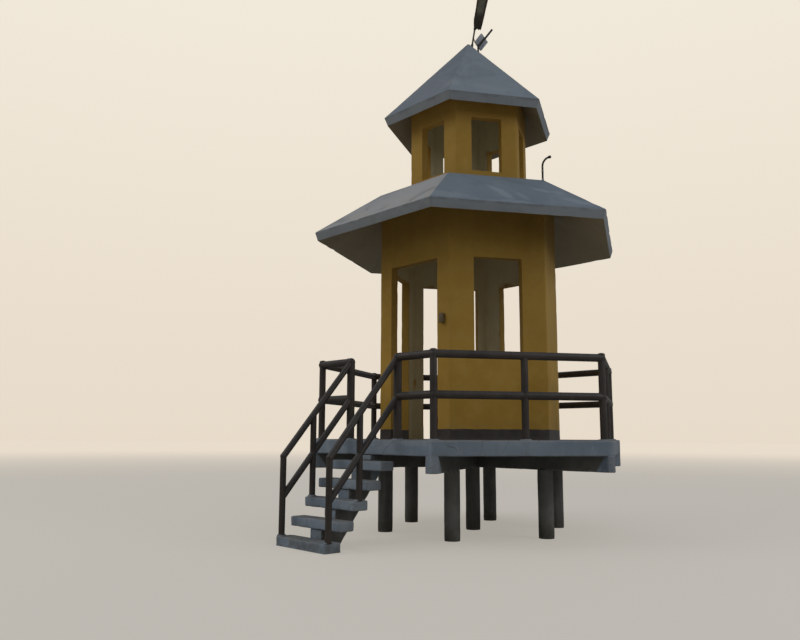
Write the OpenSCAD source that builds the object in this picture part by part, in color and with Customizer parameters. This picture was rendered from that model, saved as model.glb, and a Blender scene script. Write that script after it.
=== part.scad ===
/* [Deck] */
// Height of the deck surface above the ground
deck_h = 1200; // [900:10:1600]
// Corner radius of the hexagonal deck slab
deck_r = 2222; // [2150:1:2400]
// Thickness of the deck slab
deck_t = 183; // [120:1:220]
// Depth of the beams below the slab
beam_d = 188; // [100:5:250]
// Width of the beams
beam_w = 150; // [120:5:200]
// Diameter of the round piers
pier_d = 200; // [160:5:260]
// Distance of the outer piers from the centre
pier_r = 1215; // [1000:5:1400]

/* [Room] */
// Corner radius of the hexagonal room
room_r = 1298; // [1200:1:1400]
// Thickness of the room walls
wall_t = 120; // [100:5:160]
// Width of the stair doorway and the rear doorway
door_w = 860; // [700:10:900]
// Width of the narrow doorway on the seaward side
side_door_w = 620; // [500:10:700]
// Width of the windows
win_w = 640; // [500:10:700]
// Height of the window sills above the deck
sill_h = 1100; // [900:10:1300]
// Height of the door and window heads above the deck
head_h = 2300; // [2100:10:2500]
// Height of the kerb across the narrow doorway
kerb_h = 130; // [80:5:200]

/* [Lower roof] */
// Corner radius at the eaves, top edge
eave_r = 2228; // [2100:1:2400]
// Corner radius at the eaves, bottom edge
eave_low_r = 2184; // [2050:1:2350]
// Height of the eaves top edge above the deck
eave_z = 2788; // [2700:1:2900]
// Height of the eaves face
eave_face = 125; // [100:1:160]
// Height of the flat roof top above the deck
flat_z = 3384; // [3300:1:3500]
// Corner radius of the flat roof top
flat_r = 1311; // [1302:1:1400]
// Thickness of the flat roof slab
flat_t = 124; // [100:1:140]

/* [Lantern] */
// Corner radius of the lantern on the roof
lan_r = 872; // [800:1:950]
// Height of the lantern sills above the deck
lan_sill_z = 3585; // [3500:5:3700]
// Height of the lantern opening heads above the deck
lan_head_z = 4340; // [4200:5:4400]
// Width of the lantern openings
lan_open_w = 420; // [350:5:500]
// Corner radius at the upper eaves, top edge
cap_r = 1267; // [1150:1:1350]
// Corner radius at the upper eaves, bottom edge
cap_low_r = 1217; // [1100:1:1300]
// Height of the upper eaves top edge above the deck
cap_z = 4529; // [4480:1:4600]
// Height of the upper eaves face
cap_face = 114; // [90:1:130]
// Height of the roof point above the deck
cap_top_z = 5826; // [5600:1:6000]

/* [Stair] */
// Height of the base pad
pad_h = 107; // [80:1:150]
// Rise from one tread to the next
rise = 212; // [180:1:215]
// Distance from one tread front to the next
going = 195; // [170:1:220]
// Depth of a tread
tread_d = 210; // [200:5:260]
// Thickness of a tread
tread_t = 115; // [80:1:130]
// Width of the treads
tread_w = 930; // [900:10:1100]
// Distance of the front of the top tread from the tower centre
top_front = 2080; // [2060:5:2150]
// Width of the central spine
spine_w = 210; // [180:5:350]

/* [Railing] */
// Height of the top rail centre above the deck
rail_h = 975; // [900:5:1100]
// Height of the middle rail centre above the deck
mid_h = 510; // [400:10:600]
// Diameter of the level rails
rail_d = 95; // [88:1:100]
// Diameter of the posts
post_d = 85; // [70:1:86]
// Diameter of the sloping stair rails
slope_d = 76; // [60:1:90]
// Diameter of the posts on the stair
stair_post_d = 73; // [60:1:75]
// Diameter of the posts at the head of the stair
head_post_d = 100; // [98:1:104]
// Distance that the middle post right of the stair stands off the middle of its side
mid_shift = 58; // [0:1:100]
// Corner radius of the hexagon of posts
post_r = 2080; // [1950:5:2120]
// Distance of each stair rail from the stair centre line
stair_x = 440; // [400:5:450]

/* [Fittings] */
// Length of the flag pole above the roof point
pole_l = 1150; // [800:10:1500]
// Diameter of the flag pole
pole_d = 26; // [20:1:40]
// Lean of the flag pole in degrees
pole_lean = 9; // [0:1:12]
// Diameter of the roof conduit
conduit_d = 27; // [20:1:40]

/* [Hidden] */
$fn = 48;
c30 = cos(30);
slab_z = deck_h - deck_t;
beam_z = slab_z - beam_d;

// A hexagonal prism with corners on the X axis
module hex(r, h) { cylinder(r = r, h = h, $fn = 6); }
// A hexagonal ring with walls of thickness t measured square to the face
module hex_ring(r, t, h) {
  difference() {
    hex(r, h);
    translate([0, 0, -10]) hex(r - t / c30, h + 20);
  }
}
// Wedge of the plan between two neighbouring corners, starting at the corner angle a
module sector(a, h, big = 6000) {
  linear_extrude(height = h)
    polygon([[0, 0], [big * cos(a), big * sin(a)], [big * cos(a + 60), big * sin(a + 60)]]);
}

// Piers
module pier(a, r) {
  color("dimgray")
    translate([r * cos(a), r * sin(a), 0]) cylinder(d = pier_d, h = beam_z);
}

// Radial beams, cut to the outline of the deck
module deck_beams() {
  color("slategray") translate([0, 0, beam_z]) intersection() {
    hex(deck_r - 3, beam_d);
    union() for (a = [0, 60, 120]) rotate([0, 0, a])
      translate([-3000, -beam_w / 2, 0]) cube([6000, beam_w, beam_d]);
  }
}
module deck_slab() {
  color("lightslategray") translate([0, 0, slab_z]) hex(deck_r, deck_t);
}

// Stair: treads are counted from the bottom
function tread_top(i) = pad_h + i * rise;
function tread_front(i) = -(top_front + (4 - i) * going);
module tread(i) {
  color("lightslategray")
    translate([-tread_w / 2, tread_front(i), tread_top(i) - tread_t])
      cube([tread_w, tread_d, tread_t]);
}
module stair_pad() {
  color("lightslategray")
    translate([-tread_w / 2, tread_front(0), 0]) cube([tread_w, going + 25, pad_h]);
}
// The spine steps up under each tread and meets the underside of the deck
module stair_spine() {
  y_deck = -deck_r * c30;
  f = [for (i = [0:4]) tread_front(i) + 25];
  u = [for (i = [0:4]) tread_top(i) - tread_t];
  back = tread_front(4) + tread_d;
  color("lightslategray")
    translate([-spine_w / 2, 0, 0]) rotate([90, 0, 90]) linear_extrude(height = spine_w)
      polygon([
        [f[1], 0], [f[1], u[1]], [f[2], u[1]], [f[2], u[2]], [f[3], u[2]], [f[3], u[3]],
        [f[4], u[3]], [f[4], u[4]], [back, u[4]], [back, tread_top(4)],
        [y_deck, tread_top(4)], [y_deck, slab_z], [y_deck + 150, slab_z],
        [y_deck + 150, slab_z - 230], [f[1] + 260, 0]
      ]);
}

// Room wall on one face: everything between two corners, seen from outside
module face_cut(a, w, z0, z1) {
  rotate([0, 0, a + 30]) translate([room_r * c30 - 400, -w / 2, z0]) cube([800, w, z1 - z0]);
}
// A corner column wraps the corner at angle a and ends at the openings on its two sides,
// or on the right rear face at the plain wall that fills the whole height
module column(a, w_before, w_after) {
  color("goldenrod") difference() {
    intersection() {
      translate([0, 0, deck_h]) hex_ring(room_r, wall_t, head_h);
      rotate([0, 0, a - 30]) translate([0, 0, deck_h]) sector(0, head_h);
    }
    face_cut(a - 60, w_before, deck_h - 10, deck_h + head_h + 10);
    face_cut(a, w_after, deck_h - 10, deck_h + head_h + 10);
  }
}
module sill_wall(a, w, h) {
  color("goldenrod") intersection() {
    translate([0, 0, deck_h]) hex_ring(room_r, wall_t, h);
    face_cut(a, w, deck_h, deck_h + h);
  }
}
module ring_beam() {
  color("goldenrod") translate([0, 0, deck_h + head_h])
    hex_ring(room_r, wall_t, flat_z - flat_t - head_h);
}

// Lower roof: a sloping hexagonal skirt round the room
slope1 = (flat_z - eave_z) / (eave_r - flat_r);
soffit_z = eave_z - eave_face + slope1 * (eave_low_r - room_r);
module lower_roof() {
  color("lightslategray") translate([0, 0, deck_h]) difference() {
    union() {
      translate([0, 0, eave_z - eave_face])
        cylinder(r1 = eave_low_r, r2 = eave_r, h = eave_face, $fn = 6);
      translate([0, 0, eave_z])
        cylinder(r1 = eave_r, r2 = flat_r, h = flat_z - eave_z, $fn = 6);
    }
    translate([0, 0, eave_z - eave_face - 20])
      cylinder(r1 = eave_low_r + 20 / slope1, r2 = room_r,
               h = soffit_z - (eave_z - eave_face) + 20, $fn = 6);
    hex(room_r, flat_z + 50);
  }
}
module roof_slab() {
  color("lightslategray") translate([0, 0, deck_h + flat_z - flat_t]) hex(room_r, flat_t);
}

// Lantern
module lantern_sill() {
  color("goldenrod") translate([0, 0, deck_h + flat_z])
    hex_ring(lan_r, wall_t, lan_sill_z - flat_z);
}
module lantern_columns() {
  color("goldenrod") translate([0, 0, deck_h + lan_sill_z]) difference() {
    hex_ring(lan_r, wall_t, lan_head_z - lan_sill_z);
    for (a = [0:60:300]) rotate([0, 0, a + 30])
      translate([0, -lan_open_w / 2, -10]) cube([1500, lan_open_w, 1500]);
  }
}
slope2 = (cap_top_z - cap_z) / cap_r;
module cap_void() {
  translate([0, 0, cap_z - cap_face])
    cylinder(r1 = cap_low_r, r2 = 0.5, h = (cap_low_r - 0.5) * slope2, $fn = 6);
}
module lantern_beam() {
  top = cap_z - cap_face + (cap_low_r - lan_r) * slope2;
  color("goldenrod") translate([0, 0, deck_h]) intersection() {
    translate([0, 0, lan_head_z])
      hex_ring(lan_r, wall_t, top - lan_head_z + 150);
    union() {
      translate([0, 0, lan_head_z]) hex(lan_r, cap_z - cap_face - lan_head_z);
      cap_void();
    }
  }
}
module upper_roof() {
  color("lightslategray") translate([0, 0, deck_h]) difference() {
    union() {
      translate([0, 0, cap_z - cap_face])
        cylinder(r1 = cap_low_r, r2 = cap_r, h = cap_face, $fn = 6);
      translate([0, 0, cap_z])
        cylinder(r1 = cap_r, r2 = 20, h = cap_top_z - cap_z - 20 * slope2, $fn = 6);
    }
    translate([0, 0, cap_z - cap_face - 30])
      cylinder(r1 = cap_low_r + 30 / slope2, r2 = 0.5,
               h = (cap_low_r + 30 / slope2 - 0.5) * slope2, $fn = 6);
  }
}

// Railing
module corner_post(a) {
  translate([post_r * cos(a), post_r * sin(a), deck_h]) cylinder(d = post_d, h = rail_h);
}
module side_rails(a) {
  for (z = [mid_h, rail_h]) intersection() {
    rotate([0, 0, a + 30]) translate([post_r * c30, 0, deck_h + z])
      rotate([90, 0, 0]) cylinder(d = rail_d, h = post_r + 400, center = true);
    translate([0, 0, deck_h]) sector(a, 1500);
  }
}
module mid_post(a) {
  rotate([0, 0, a + 30]) translate([post_r * c30, a == 300 ? mid_shift : 0, deck_h])
    cylinder(d = post_d, h = rail_h);
}
module rail_side(a) {
  color([0.16, 0.13, 0.11]) difference() {
    union() {
      side_rails(a);
      corner_post(a);
      mid_post(a);
    }
    corner_post(a + 60);
  }
}
// Stair rails: s is the side, -1 left and 1 right
rail_y0 = -post_r * c30;
rail_y1 = tread_front(0) + 62;
rail_drop = 1170;
mid_y = tread_front(2) + 95;
// Rounded joints stand a little proud of the pipes they join
head_joint_d = head_post_d + 4;
foot_joint_d = slope_d + 4;
function rail_z(y) = deck_h + rail_h - rail_drop * (rail_y0 - y) / (rail_y0 - rail_y1);
module sloped(z_off) {
  run = rail_y0 - rail_y1;
  translate([0, rail_y1, deck_h + rail_h - rail_drop + z_off])
    rotate([-atan2(run, rail_drop), 0, 0]) cylinder(d = slope_d, h = norm([run, rail_drop]));
}
module stair_rail(s) {
  translate([s * stair_x, 0, 0]) {
    translate([0, rail_y0, deck_h]) cylinder(d = head_post_d, h = rail_h);
    translate([0, rail_y0, deck_h + rail_h]) sphere(d = head_joint_d);
    translate([0, rail_y0, deck_h + mid_h]) sphere(d = head_joint_d);
    sloped(0);
    sloped(mid_h - rail_h);
    translate([0, rail_y1, deck_h + rail_h - rail_drop]) sphere(d = foot_joint_d);
    translate([0, rail_y1, pad_h])
      cylinder(d = stair_post_d, h = deck_h + rail_h - rail_drop - pad_h);
    translate([0, mid_y, tread_top(2)])
      cylinder(d = stair_post_d, h = rail_z(mid_y) - tread_top(2));
  }
}
module front_rail(s) {
  color([0.16, 0.13, 0.11]) difference() {
    union() {
      intersection() {
        side_rails(240);
        translate([s > 0 ? stair_x : -3000, -3000, 0]) cube([3000 - stair_x, 3000, 4000]);
      }
      if (s < 0) corner_post(240);
      stair_rail(s);
    }
    if (s > 0) corner_post(300);
  }
}

// Fittings
module roof_conduit() {
  color("dimgray") translate([flat_r - 20, 0, deck_h + flat_z]) {
    cylinder(d = conduit_d, h = 190);
    translate([100, 0, 190]) rotate([90, 0, 0]) rotate([0, 0, 90])
      rotate_extrude(angle = 90) translate([100, 0]) circle(d = conduit_d);
    translate([100, 0, 290]) rotate([0, 90, 0]) cylinder(d = conduit_d + 12, h = 34);
  }
}
module switch_box() {
  color("gray") translate([508, -room_r * c30 - 50, deck_h + 1450]) cube([62, 50, 120]);
}
module upper_roof_solid() {
  translate([0, 0, deck_h + cap_z])
    cylinder(r1 = cap_r, r2 = 20, h = cap_top_z - cap_z - 20 * slope2, $fn = 6);
}
// Axes at the roof point for the pole and the floodlight, X towards the pole's lean
module at_tip() {
  translate([0, 0, deck_h + cap_top_z]) rotate([0, 0, 47.4]) children();
}
// Axes along the leaning pole, which stands just off the roof point
module on_pole() {
  at_tip() translate([50, 0, -70]) rotate([0, pole_lean, 0]) children();
}
module flag_pole() {
  color("dimgray") difference() {
    on_pole() {
      cylinder(d = pole_d, h = pole_l);
      translate([0, 0, pole_l - 5]) sphere(d = 50);
    }
    upper_roof_solid();
  }
}
// Furled cloth, wrapped round one side of the pole and wider towards the top
module flag() {
  color([0.2, 0.18, 0.15]) on_pole() difference() {
    hull() {
      translate([-16, -26, 290]) cube([108, 52, 10]);
      translate([-36, -34, 420]) cube([142, 68, 10]);
      translate([-38, -36, 1010]) cube([182, 72, 10]);
    }
    translate([0, 0, 200]) cylinder(d = pole_d + 2, h = 900);
  }
}
// Tilted lamp box with a bar across it and a foot cut to the roof
module floodlight() {
  color("gray") difference() {
    at_tip() {
      translate([193, 12, 30]) rotate([28, 0, 0]) rotate([0, 0, 32]) rotate([0, 45, 0]) {
        cube([176, 40, 176], center = true);
        translate([-20, -49, -105]) cube([30, 30, 350]);
      }
      translate([130, -28, -230]) cube([28, 22, 196]);
    }
    upper_roof_solid();
  }
}

pier(0, 0);  // pier_centre
pier(300, pier_r);  // pier_front_right
pier(0, pier_r);  // pier_right
pier(60, pier_r);  // pier_rear_right
pier(120, pier_r);  // pier_rear_left
pier(180, pier_r);  // pier_left
pier(240, pier_r);  // pier_front_left
deck_beams();
deck_slab();
stair_pad();
stair_spine();
tread(1);  // tread_1
tread(2);  // tread_2
tread(3);  // tread_3
tread(4);  // tread_4
column(300, door_w, win_w);  // column_front_right
column(0, win_w, win_w);  // column_right
column(60, win_w, win_w);  // column_rear_right
column(120, win_w, door_w);  // column_rear_left
column(180, door_w, side_door_w);  // column_left
column(240, side_door_w, door_w);  // column_front_left
sill_wall(300, win_w, sill_h);  // sill_wall_right_front
sill_wall(0, win_w, head_h);  // wall_right_rear
sill_wall(60, win_w, sill_h);  // sill_wall_rear
sill_wall(180, side_door_w, kerb_h);  // kerb_left_front
ring_beam();
lower_roof();
roof_slab();
lantern_sill();
lantern_columns();
lantern_beam();
upper_roof();
rail_side(300);  // rail_right_front
rail_side(0);  // rail_right_rear
rail_side(60);  // rail_rear
rail_side(120);  // rail_left_rear
rail_side(180);  // rail_left_front
front_rail(-1);  // stair_rail_left
front_rail(1);  // stair_rail_right
roof_conduit();
switch_box();
flag_pole();
flag();
floodlight();
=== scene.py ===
import math

import bmesh
import bpy
import numpy as np
from mathutils import Matrix, Vector, noise


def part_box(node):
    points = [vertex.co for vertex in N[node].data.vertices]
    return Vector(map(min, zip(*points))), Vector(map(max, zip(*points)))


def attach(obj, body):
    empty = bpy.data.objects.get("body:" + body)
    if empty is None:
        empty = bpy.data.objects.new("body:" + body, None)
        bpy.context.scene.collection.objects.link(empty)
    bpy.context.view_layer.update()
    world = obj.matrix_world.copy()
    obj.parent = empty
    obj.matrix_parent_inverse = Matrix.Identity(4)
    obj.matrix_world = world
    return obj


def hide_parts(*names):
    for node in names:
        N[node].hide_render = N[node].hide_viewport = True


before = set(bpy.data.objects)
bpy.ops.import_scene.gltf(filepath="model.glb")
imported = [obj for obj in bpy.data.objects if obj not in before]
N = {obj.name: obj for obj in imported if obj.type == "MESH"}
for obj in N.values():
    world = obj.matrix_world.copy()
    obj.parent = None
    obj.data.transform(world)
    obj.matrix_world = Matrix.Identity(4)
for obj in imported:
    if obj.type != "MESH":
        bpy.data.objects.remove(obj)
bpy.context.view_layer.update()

SC = bpy.context.scene
RAD = math.radians
C30 = math.cos(RAD(30))

# Sizes of the tower in metres, as in the part's source
DECK, SLAB_T = 1.200, 0.183
ROOM_R, WALL_T = 1.298, 0.120
DOOR_W, SIDE_W, WIN_W = 0.860, 0.620, 0.640
SILL, HEAD, KERB = 1.100, 2.300, 0.130
EAVE_R, EAVE_Z = 2.228, 2.788
FLAT_Z, FLAT_T, FLAT_R = 3.384, 0.124, 1.311
LAN_R, LAN_SILL, LAN_HEAD, LAN_W = 0.872, 3.585, 4.340, 0.420
CAP_R, CAP_LOW_R, CAP_Z, CAP_FACE, CAP_TOP = 1.267, 1.217, 4.529, 0.114, 5.826
SLOPE2 = (CAP_TOP - CAP_Z) / CAP_R
RAIL_H, MID_H, RAIL_D, POST_D, POST_R = 0.975, 0.510, 0.095, 0.085, 2.080
HEAD_POST_D, STAIR_POST_D, MID_SHIFT = 0.100, 0.073, 0.058
STAIR_X = 0.440
PAD_H, RISE, GOING, TOP_FRONT = 0.107, 0.212, 0.195, 2.080
TIP = Vector((0, 0, DECK + CAP_TOP))
LEAN_AZ = RAD(47.4)


def tread_front(i):
    return -(TOP_FRONT + (4 - i) * GOING)


def tread_top(i):
    return PAD_H + i * RISE


# ---------------------------------------------------------------- camera and light
def camera():
    cam = bpy.data.cameras.new("camera")
    cam.sensor_fit = "HORIZONTAL"
    cam.sensor_width = 36.0
    cam.lens = 34.43
    cam.clip_end = 400
    o = bpy.data.objects.new("camera", cam)
    SC.collection.objects.link(o)
    f = Vector((-0.7273, 0.6697, 0.1498)).normalized()
    x = f.cross(Vector((0, 0, 1))).normalized()
    u = x.cross(f).normalized()
    r = RAD(0.22)
    right = x * math.cos(r) + u * math.sin(r)
    up = -x * math.sin(r) + u * math.cos(r)
    m = Matrix((right, up, -f)).transposed().to_4x4()
    m.translation = Vector((7.156, -7.951, 1.2442))
    o.matrix_world = m
    SC.camera = o


def area(name, at, to, size, watts, colour):
    l = bpy.data.lights.new(name, "AREA")
    l.shape = "RECTANGLE"
    l.size, l.size_y = size
    l.energy = watts
    l.color = colour
    o = bpy.data.objects.new(name, l)
    SC.collection.objects.link(o)
    o.location = at
    o.rotation_euler = (Vector(to) - Vector(at)).to_track_quat("-Z", "Y").to_euler()
    return o


def stage():
    w = bpy.data.worlds.new("studio")
    SC.world = w
    w.use_nodes = True
    nt = w.node_tree
    nt.nodes.clear()
    out = nt.nodes.new("ShaderNodeOutputWorld")
    bg = nt.nodes.new("ShaderNodeBackground")
    tc = nt.nodes.new("ShaderNodeTexCoord")
    sep = nt.nodes.new("ShaderNodeSeparateXYZ")
    ramp = nt.nodes.new("ShaderNodeValToRGB")
    nt.links.new(tc.outputs["Generated"], sep.inputs[0])
    mr = nt.nodes.new("ShaderNodeMapRange")
    mr.inputs["From Min"].default_value = -1
    mr.inputs["From Max"].default_value = 1
    nt.links.new(sep.outputs["Z"], mr.inputs["Value"])
    nt.links.new(mr.outputs[0], ramp.inputs[0])
    e = ramp.color_ramp.elements
    e[0].position, e[0].color = 0.0, (0.13, 0.12, 0.10, 1)
    e[1].position, e[1].color = 1.0, (0.78, 0.84, 0.95, 1)
    for p, c in ((0.47, (0.16, 0.15, 0.13, 1)), (0.497, (0.90, 0.86, 0.80, 1)), (0.62, (0.92, 0.90, 0.86, 1))):
        k = e.new(p)
        k.color = c
    nt.links.new(ramp.outputs[0], bg.inputs["Color"])
    bg.inputs["Strength"].default_value = WORLD
    nt.links.new(bg.outputs[0], out.inputs[0])
    def still(o):
        for k in ("visible_diffuse", "visible_glossy", "visible_transmission", "visible_volume_scatter", "visible_shadow"):
            setattr(o, k, False)

    def disc(name, r, z, colour, glow):
        me = bpy.data.meshes.new(name)
        me.from_pydata([(r * math.cos(RAD(a)), r * math.sin(RAD(a)), z) for a in range(0, 360, 6)], [], [tuple(range(60))])
        o = bpy.data.objects.new(name, me)
        SC.collection.objects.link(o)
        m = bpy.data.materials.new(name)
        m.use_nodes = True
        n = m.node_tree.nodes["Principled BSDF"]
        n.inputs["Base Color"].default_value = colour + (1,)
        n.inputs["Roughness"].default_value = 0.9
        n.inputs["Specular IOR Level"].default_value = 0.1
        n.inputs["Emission Color"].default_value = glow + (1,)
        n.inputs["Emission Strength"].default_value = 1.0 if max(glow) > 0 else 0.0
        m.cycles.emission_sampling = "NONE"
        me.materials.append(m)
        return o

    # the pale floor that the camera sees, and below it the one that throws light back up
    top = disc("floor", 165, -0.001, (0.44, 0.43, 0.41), (0.36, 0.335, 0.295))
    still(top)
    nt = top.data.materials[0].node_tree
    n = nt.nodes["Principled BSDF"]
    tc = nt.nodes.new("ShaderNodeTexCoord")
    ln = nt.nodes.new("ShaderNodeVectorMath")
    ln.operation = "LENGTH"
    mr = nt.nodes.new("ShaderNodeMapRange")
    mr.interpolation_type = "SMOOTHSTEP"
    mr.inputs["From Min"].default_value, mr.inputs["From Max"].default_value = 5, 60
    nt.links.new(tc.outputs["Object"], ln.inputs[0])
    nt.links.new(ln.outputs["Value"], mr.inputs["Value"])
    for sock, near, far in (("Base Color", (0.44, 0.43, 0.41, 1), (0, 0, 0, 1)),
                            ("Emission Color", (0.36, 0.335, 0.295, 1), (0.800, 0.705, 0.590, 1))):
        mx = nt.nodes.new("ShaderNodeMix")
        mx.data_type = "RGBA"
        mx.inputs[6].default_value, mx.inputs[7].default_value = near, far
        nt.links.new(mr.outputs[0], mx.inputs[0])
        nt.links.new(mx.outputs[2], n.inputs[sock])
    low = disc("floor_bounce", 165, -0.004, (0.46, 0.45, 0.42), (0, 0, 0))
    low.visible_camera = False
    # a plain pale backdrop all round
    bm = bmesh.new()
    bmesh.ops.create_uvsphere(bm, u_segments=64, v_segments=40, radius=168)
    bmesh.ops.delete(bm, geom=[f for f in bm.faces if f.calc_center_median().z < -8], context="FACES")
    me = bpy.data.meshes.new("backdrop")
    bm.to_mesh(me)
    bm.free()
    bd = bpy.data.objects.new("backdrop", me)
    SC.collection.objects.link(bd)
    m = bpy.data.materials.new("backdrop_plain")
    m.use_nodes = True
    nt = m.node_tree
    nt.nodes.clear()
    out = nt.nodes.new("ShaderNodeOutputMaterial")
    em = nt.nodes.new("ShaderNodeEmission")
    tc = nt.nodes.new("ShaderNodeTexCoord")
    sep = nt.nodes.new("ShaderNodeSeparateXYZ")
    ramp = nt.nodes.new("ShaderNodeValToRGB")
    mr = nt.nodes.new("ShaderNodeMapRange")
    mr.inputs["From Max"].default_value = 168
    nt.links.new(tc.outputs["Object"], sep.inputs[0])
    nt.links.new(sep.outputs["Z"], mr.inputs["Value"])
    nt.links.new(mr.outputs[0], ramp.inputs[0])
    ramp.color_ramp.elements[0].color = (0.800, 0.705, 0.590, 1)
    ramp.color_ramp.elements[1].position = 0.55
    ramp.color_ramp.elements[1].color = (0.880, 0.815, 0.700, 1)
    nt.links.new(ramp.outputs[0], em.inputs["Color"])
    nt.links.new(em.outputs[0], out.inputs["Surface"])
    m.cycles.emission_sampling = "NONE"
    me.materials.append(m)
    me.shade_smooth()
    still(bd)
    area("key", (-6.8, -11.5, 12.5), (0, 0, 3.4), (8, 8), KEY, (1.0, 0.95, 0.88))
    area("fill", (11, 3.5, 8), (0, 0, 3.2), (6, 6), FILL, (0.92, 0.95, 1.0))


WORLD, KEY, FILL = 0.28, 330, 200
SC.view_settings.view_transform = "Standard"
SC.view_settings.exposure = 0.0
camera()
stage()


# ---------------------------------------------------------------- materials
class Mat:
    """A small builder for procedural materials."""

    def __init__(self, name):
        self.m = bpy.data.materials.new(name)
        self.m.use_nodes = True
        self.nt = self.m.node_tree
        self.nt.nodes.clear()
        self.out = self.nt.nodes.new("ShaderNodeOutputMaterial")
        self.b = self.nt.nodes.new("ShaderNodeBsdfPrincipled")
        self.nt.links.new(self.b.outputs[0], self.out.inputs[0])
        self.tc = self.nt.nodes.new("ShaderNodeTexCoord")
        self.obj = self.tc.outputs["Object"]
        sep = self.node("ShaderNodeSeparateXYZ")
        self.link(self.obj, sep.inputs[0])
        self.x, self.y, self.z = sep.outputs
        geo = self.node("ShaderNodeNewGeometry")
        sn = self.node("ShaderNodeSeparateXYZ")
        self.link(geo.outputs["True Normal"], sn.inputs[0])
        self.nx, self.ny, self.nz = sn.outputs

    def node(self, kind, **props):
        n = self.nt.nodes.new(kind)
        for k, v in props.items():
            setattr(n, k, v)
        return n

    def link(self, a, b):
        self.nt.links.new(a, b)

    def put(self, sock, v):
        if hasattr(v, "is_linked"):
            self.link(v, sock)
        elif isinstance(v, (tuple, list)):
            sock.default_value = tuple(v) + ((1,) if len(v) == 3 and len(sock.default_value) == 4 else ())
        else:
            sock.default_value = v

    def math(self, op, a, b=None, c=None, clamp=False):
        n = self.node("ShaderNodeMath", operation=op, use_clamp=clamp)
        for i, v in enumerate((a, b, c)):
            if v is not None:
                self.put(n.inputs[i], v)
        return n.outputs[0]

    def noise(self, scale, detail=4.0, rough=0.55, vec=None, dist=0.0, col=False):
        n = self.node("ShaderNodeTexNoise")
        n.inputs["Scale"].default_value = scale
        n.inputs["Detail"].default_value = detail
        n.inputs["Roughness"].default_value = rough
        n.inputs["Distortion"].default_value = dist
        self.link(vec or self.obj, n.inputs["Vector"])
        return n.outputs["Color" if col else "Fac"]

    def stretch(self, scale, loc=(0, 0, 0), vec=None):
        n = self.node("ShaderNodeMapping")
        n.inputs["Scale"].default_value = scale
        n.inputs["Location"].default_value = loc
        self.link(vec or self.obj, n.inputs["Vector"])
        return n.outputs[0]

    def step(self, v, lo, hi, a=0.0, b=1.0):
        n = self.node("ShaderNodeMapRange", interpolation_type="SMOOTHSTEP")
        self.put(n.inputs["Value"], v)
        n.inputs["From Min"].default_value = lo
        n.inputs["From Max"].default_value = hi
        n.inputs["To Min"].default_value = a
        n.inputs["To Max"].default_value = b
        return n.outputs[0]

    def mix(self, fac, a, b, blend="MIX"):
        n = self.node("ShaderNodeMix", data_type="RGBA", blend_type=blend, clamp_factor=True)
        self.put(n.inputs[0], fac)
        self.put(n.inputs[6], a)
        self.put(n.inputs[7], b)
        return n.outputs[2]

    def attr(self, name):
        n = self.node("ShaderNodeAttribute", attribute_name=name)
        return n.outputs["Fac"]

    def mul(self, a, b):
        return self.math("MULTIPLY", a, b)

    def add(self, a, b):
        return self.math("ADD", a, b)

    def vec(self, x, y, z):
        n = self.node("ShaderNodeCombineXYZ")
        self.put(n.inputs[0], x)
        self.put(n.inputs[1], y)
        self.put(n.inputs[2], z)
        return n.outputs[0]

    def hexd(self):
        """Distance from the axis measured square to the faces of a hexagon with corners on X."""
        d = None
        for a in (30, 90, 150):
            v = self.math("ABSOLUTE", self.add(self.mul(self.x, math.cos(RAD(a))), self.mul(self.y, math.sin(RAD(a)))))
            d = v if d is None else self.math("MAXIMUM", d, v)
        return d

    def bump(self, height, strength, distance, normal=None):
        n = self.node("ShaderNodeBump")
        n.inputs["Strength"].default_value = strength
        n.inputs["Distance"].default_value = distance
        self.put(n.inputs["Height"], height)
        if normal is not None:
            self.link(normal, n.inputs["Normal"])
        return n.outputs[0]

    def cracks(self, scale, width, warp=0.25, vec=None):
        """Thin crooked lines: 1 on a line, 0 away from it."""
        w = self.node("ShaderNodeVectorMath", operation="MULTIPLY_ADD")
        self.link(self.noise(2.2, 3, 0.6, col=True), w.inputs[0])
        w.inputs[1].default_value = (warp, warp, warp)
        self.link(vec or self.obj, w.inputs[2])
        v = self.node("ShaderNodeTexVoronoi", feature="DISTANCE_TO_EDGE")
        v.inputs["Scale"].default_value = scale
        self.link(w.outputs[0], v.inputs["Vector"])
        return self.step(v.outputs["Distance"], 0.0, width, 1.0, 0.0)

    def blobs(self, places, warp=0.10, scale=5.0):
        """Soft long marks: each is (start, end, half width, strength)."""
        w = self.node("ShaderNodeVectorMath", operation="MULTIPLY_ADD")
        self.link(self.noise(scale, 3, 0.6, col=True), w.inputs[0])
        w.inputs[1].default_value = (warp, warp, warp)
        self.link(self.obj, w.inputs[2])
        out = None
        for p, q, half, amt in places:
            p, q = Vector(p), Vector(q)
            c, ax = (p + q) / 2 + Vector((warp, warp, warp)) / 2, (q - p)
            m = Vector((ax.length / 2 + half, half, half))
            rot = ax.to_track_quat("X", "Z").to_matrix()
            v = self.node("ShaderNodeVectorMath", operation="SUBTRACT")
            self.link(w.outputs[0], v.inputs[0])
            v.inputs[1].default_value = c
            e = None
            for i in range(3):
                d = self.node("ShaderNodeVectorMath", operation="DOT_PRODUCT")
                self.link(v.outputs[0], d.inputs[0])
                d.inputs[1].default_value = tuple(rot.col[i] / m[i])
                sq = self.mul(d.outputs["Value"], d.outputs["Value"])
                e = sq if e is None else self.add(e, sq)
            e = self.mul(self.step(e, 1.6, 0.25), amt)
            out = e if out is None else self.math("MAXIMUM", out, e)
        return out

    def finish(self, colour, rough, normal=None, metallic=None, spec=None):
        self.put(self.b.inputs["Base Color"], colour)
        self.put(self.b.inputs["Roughness"], rough)
        if normal is not None:
            self.link(normal, self.b.inputs["Normal"])
        if metallic is not None:
            self.put(self.b.inputs["Metallic"], metallic)
        if spec is not None:
            self.b.inputs["Specular IOR Level"].default_value = spec
        return self.m


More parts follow.
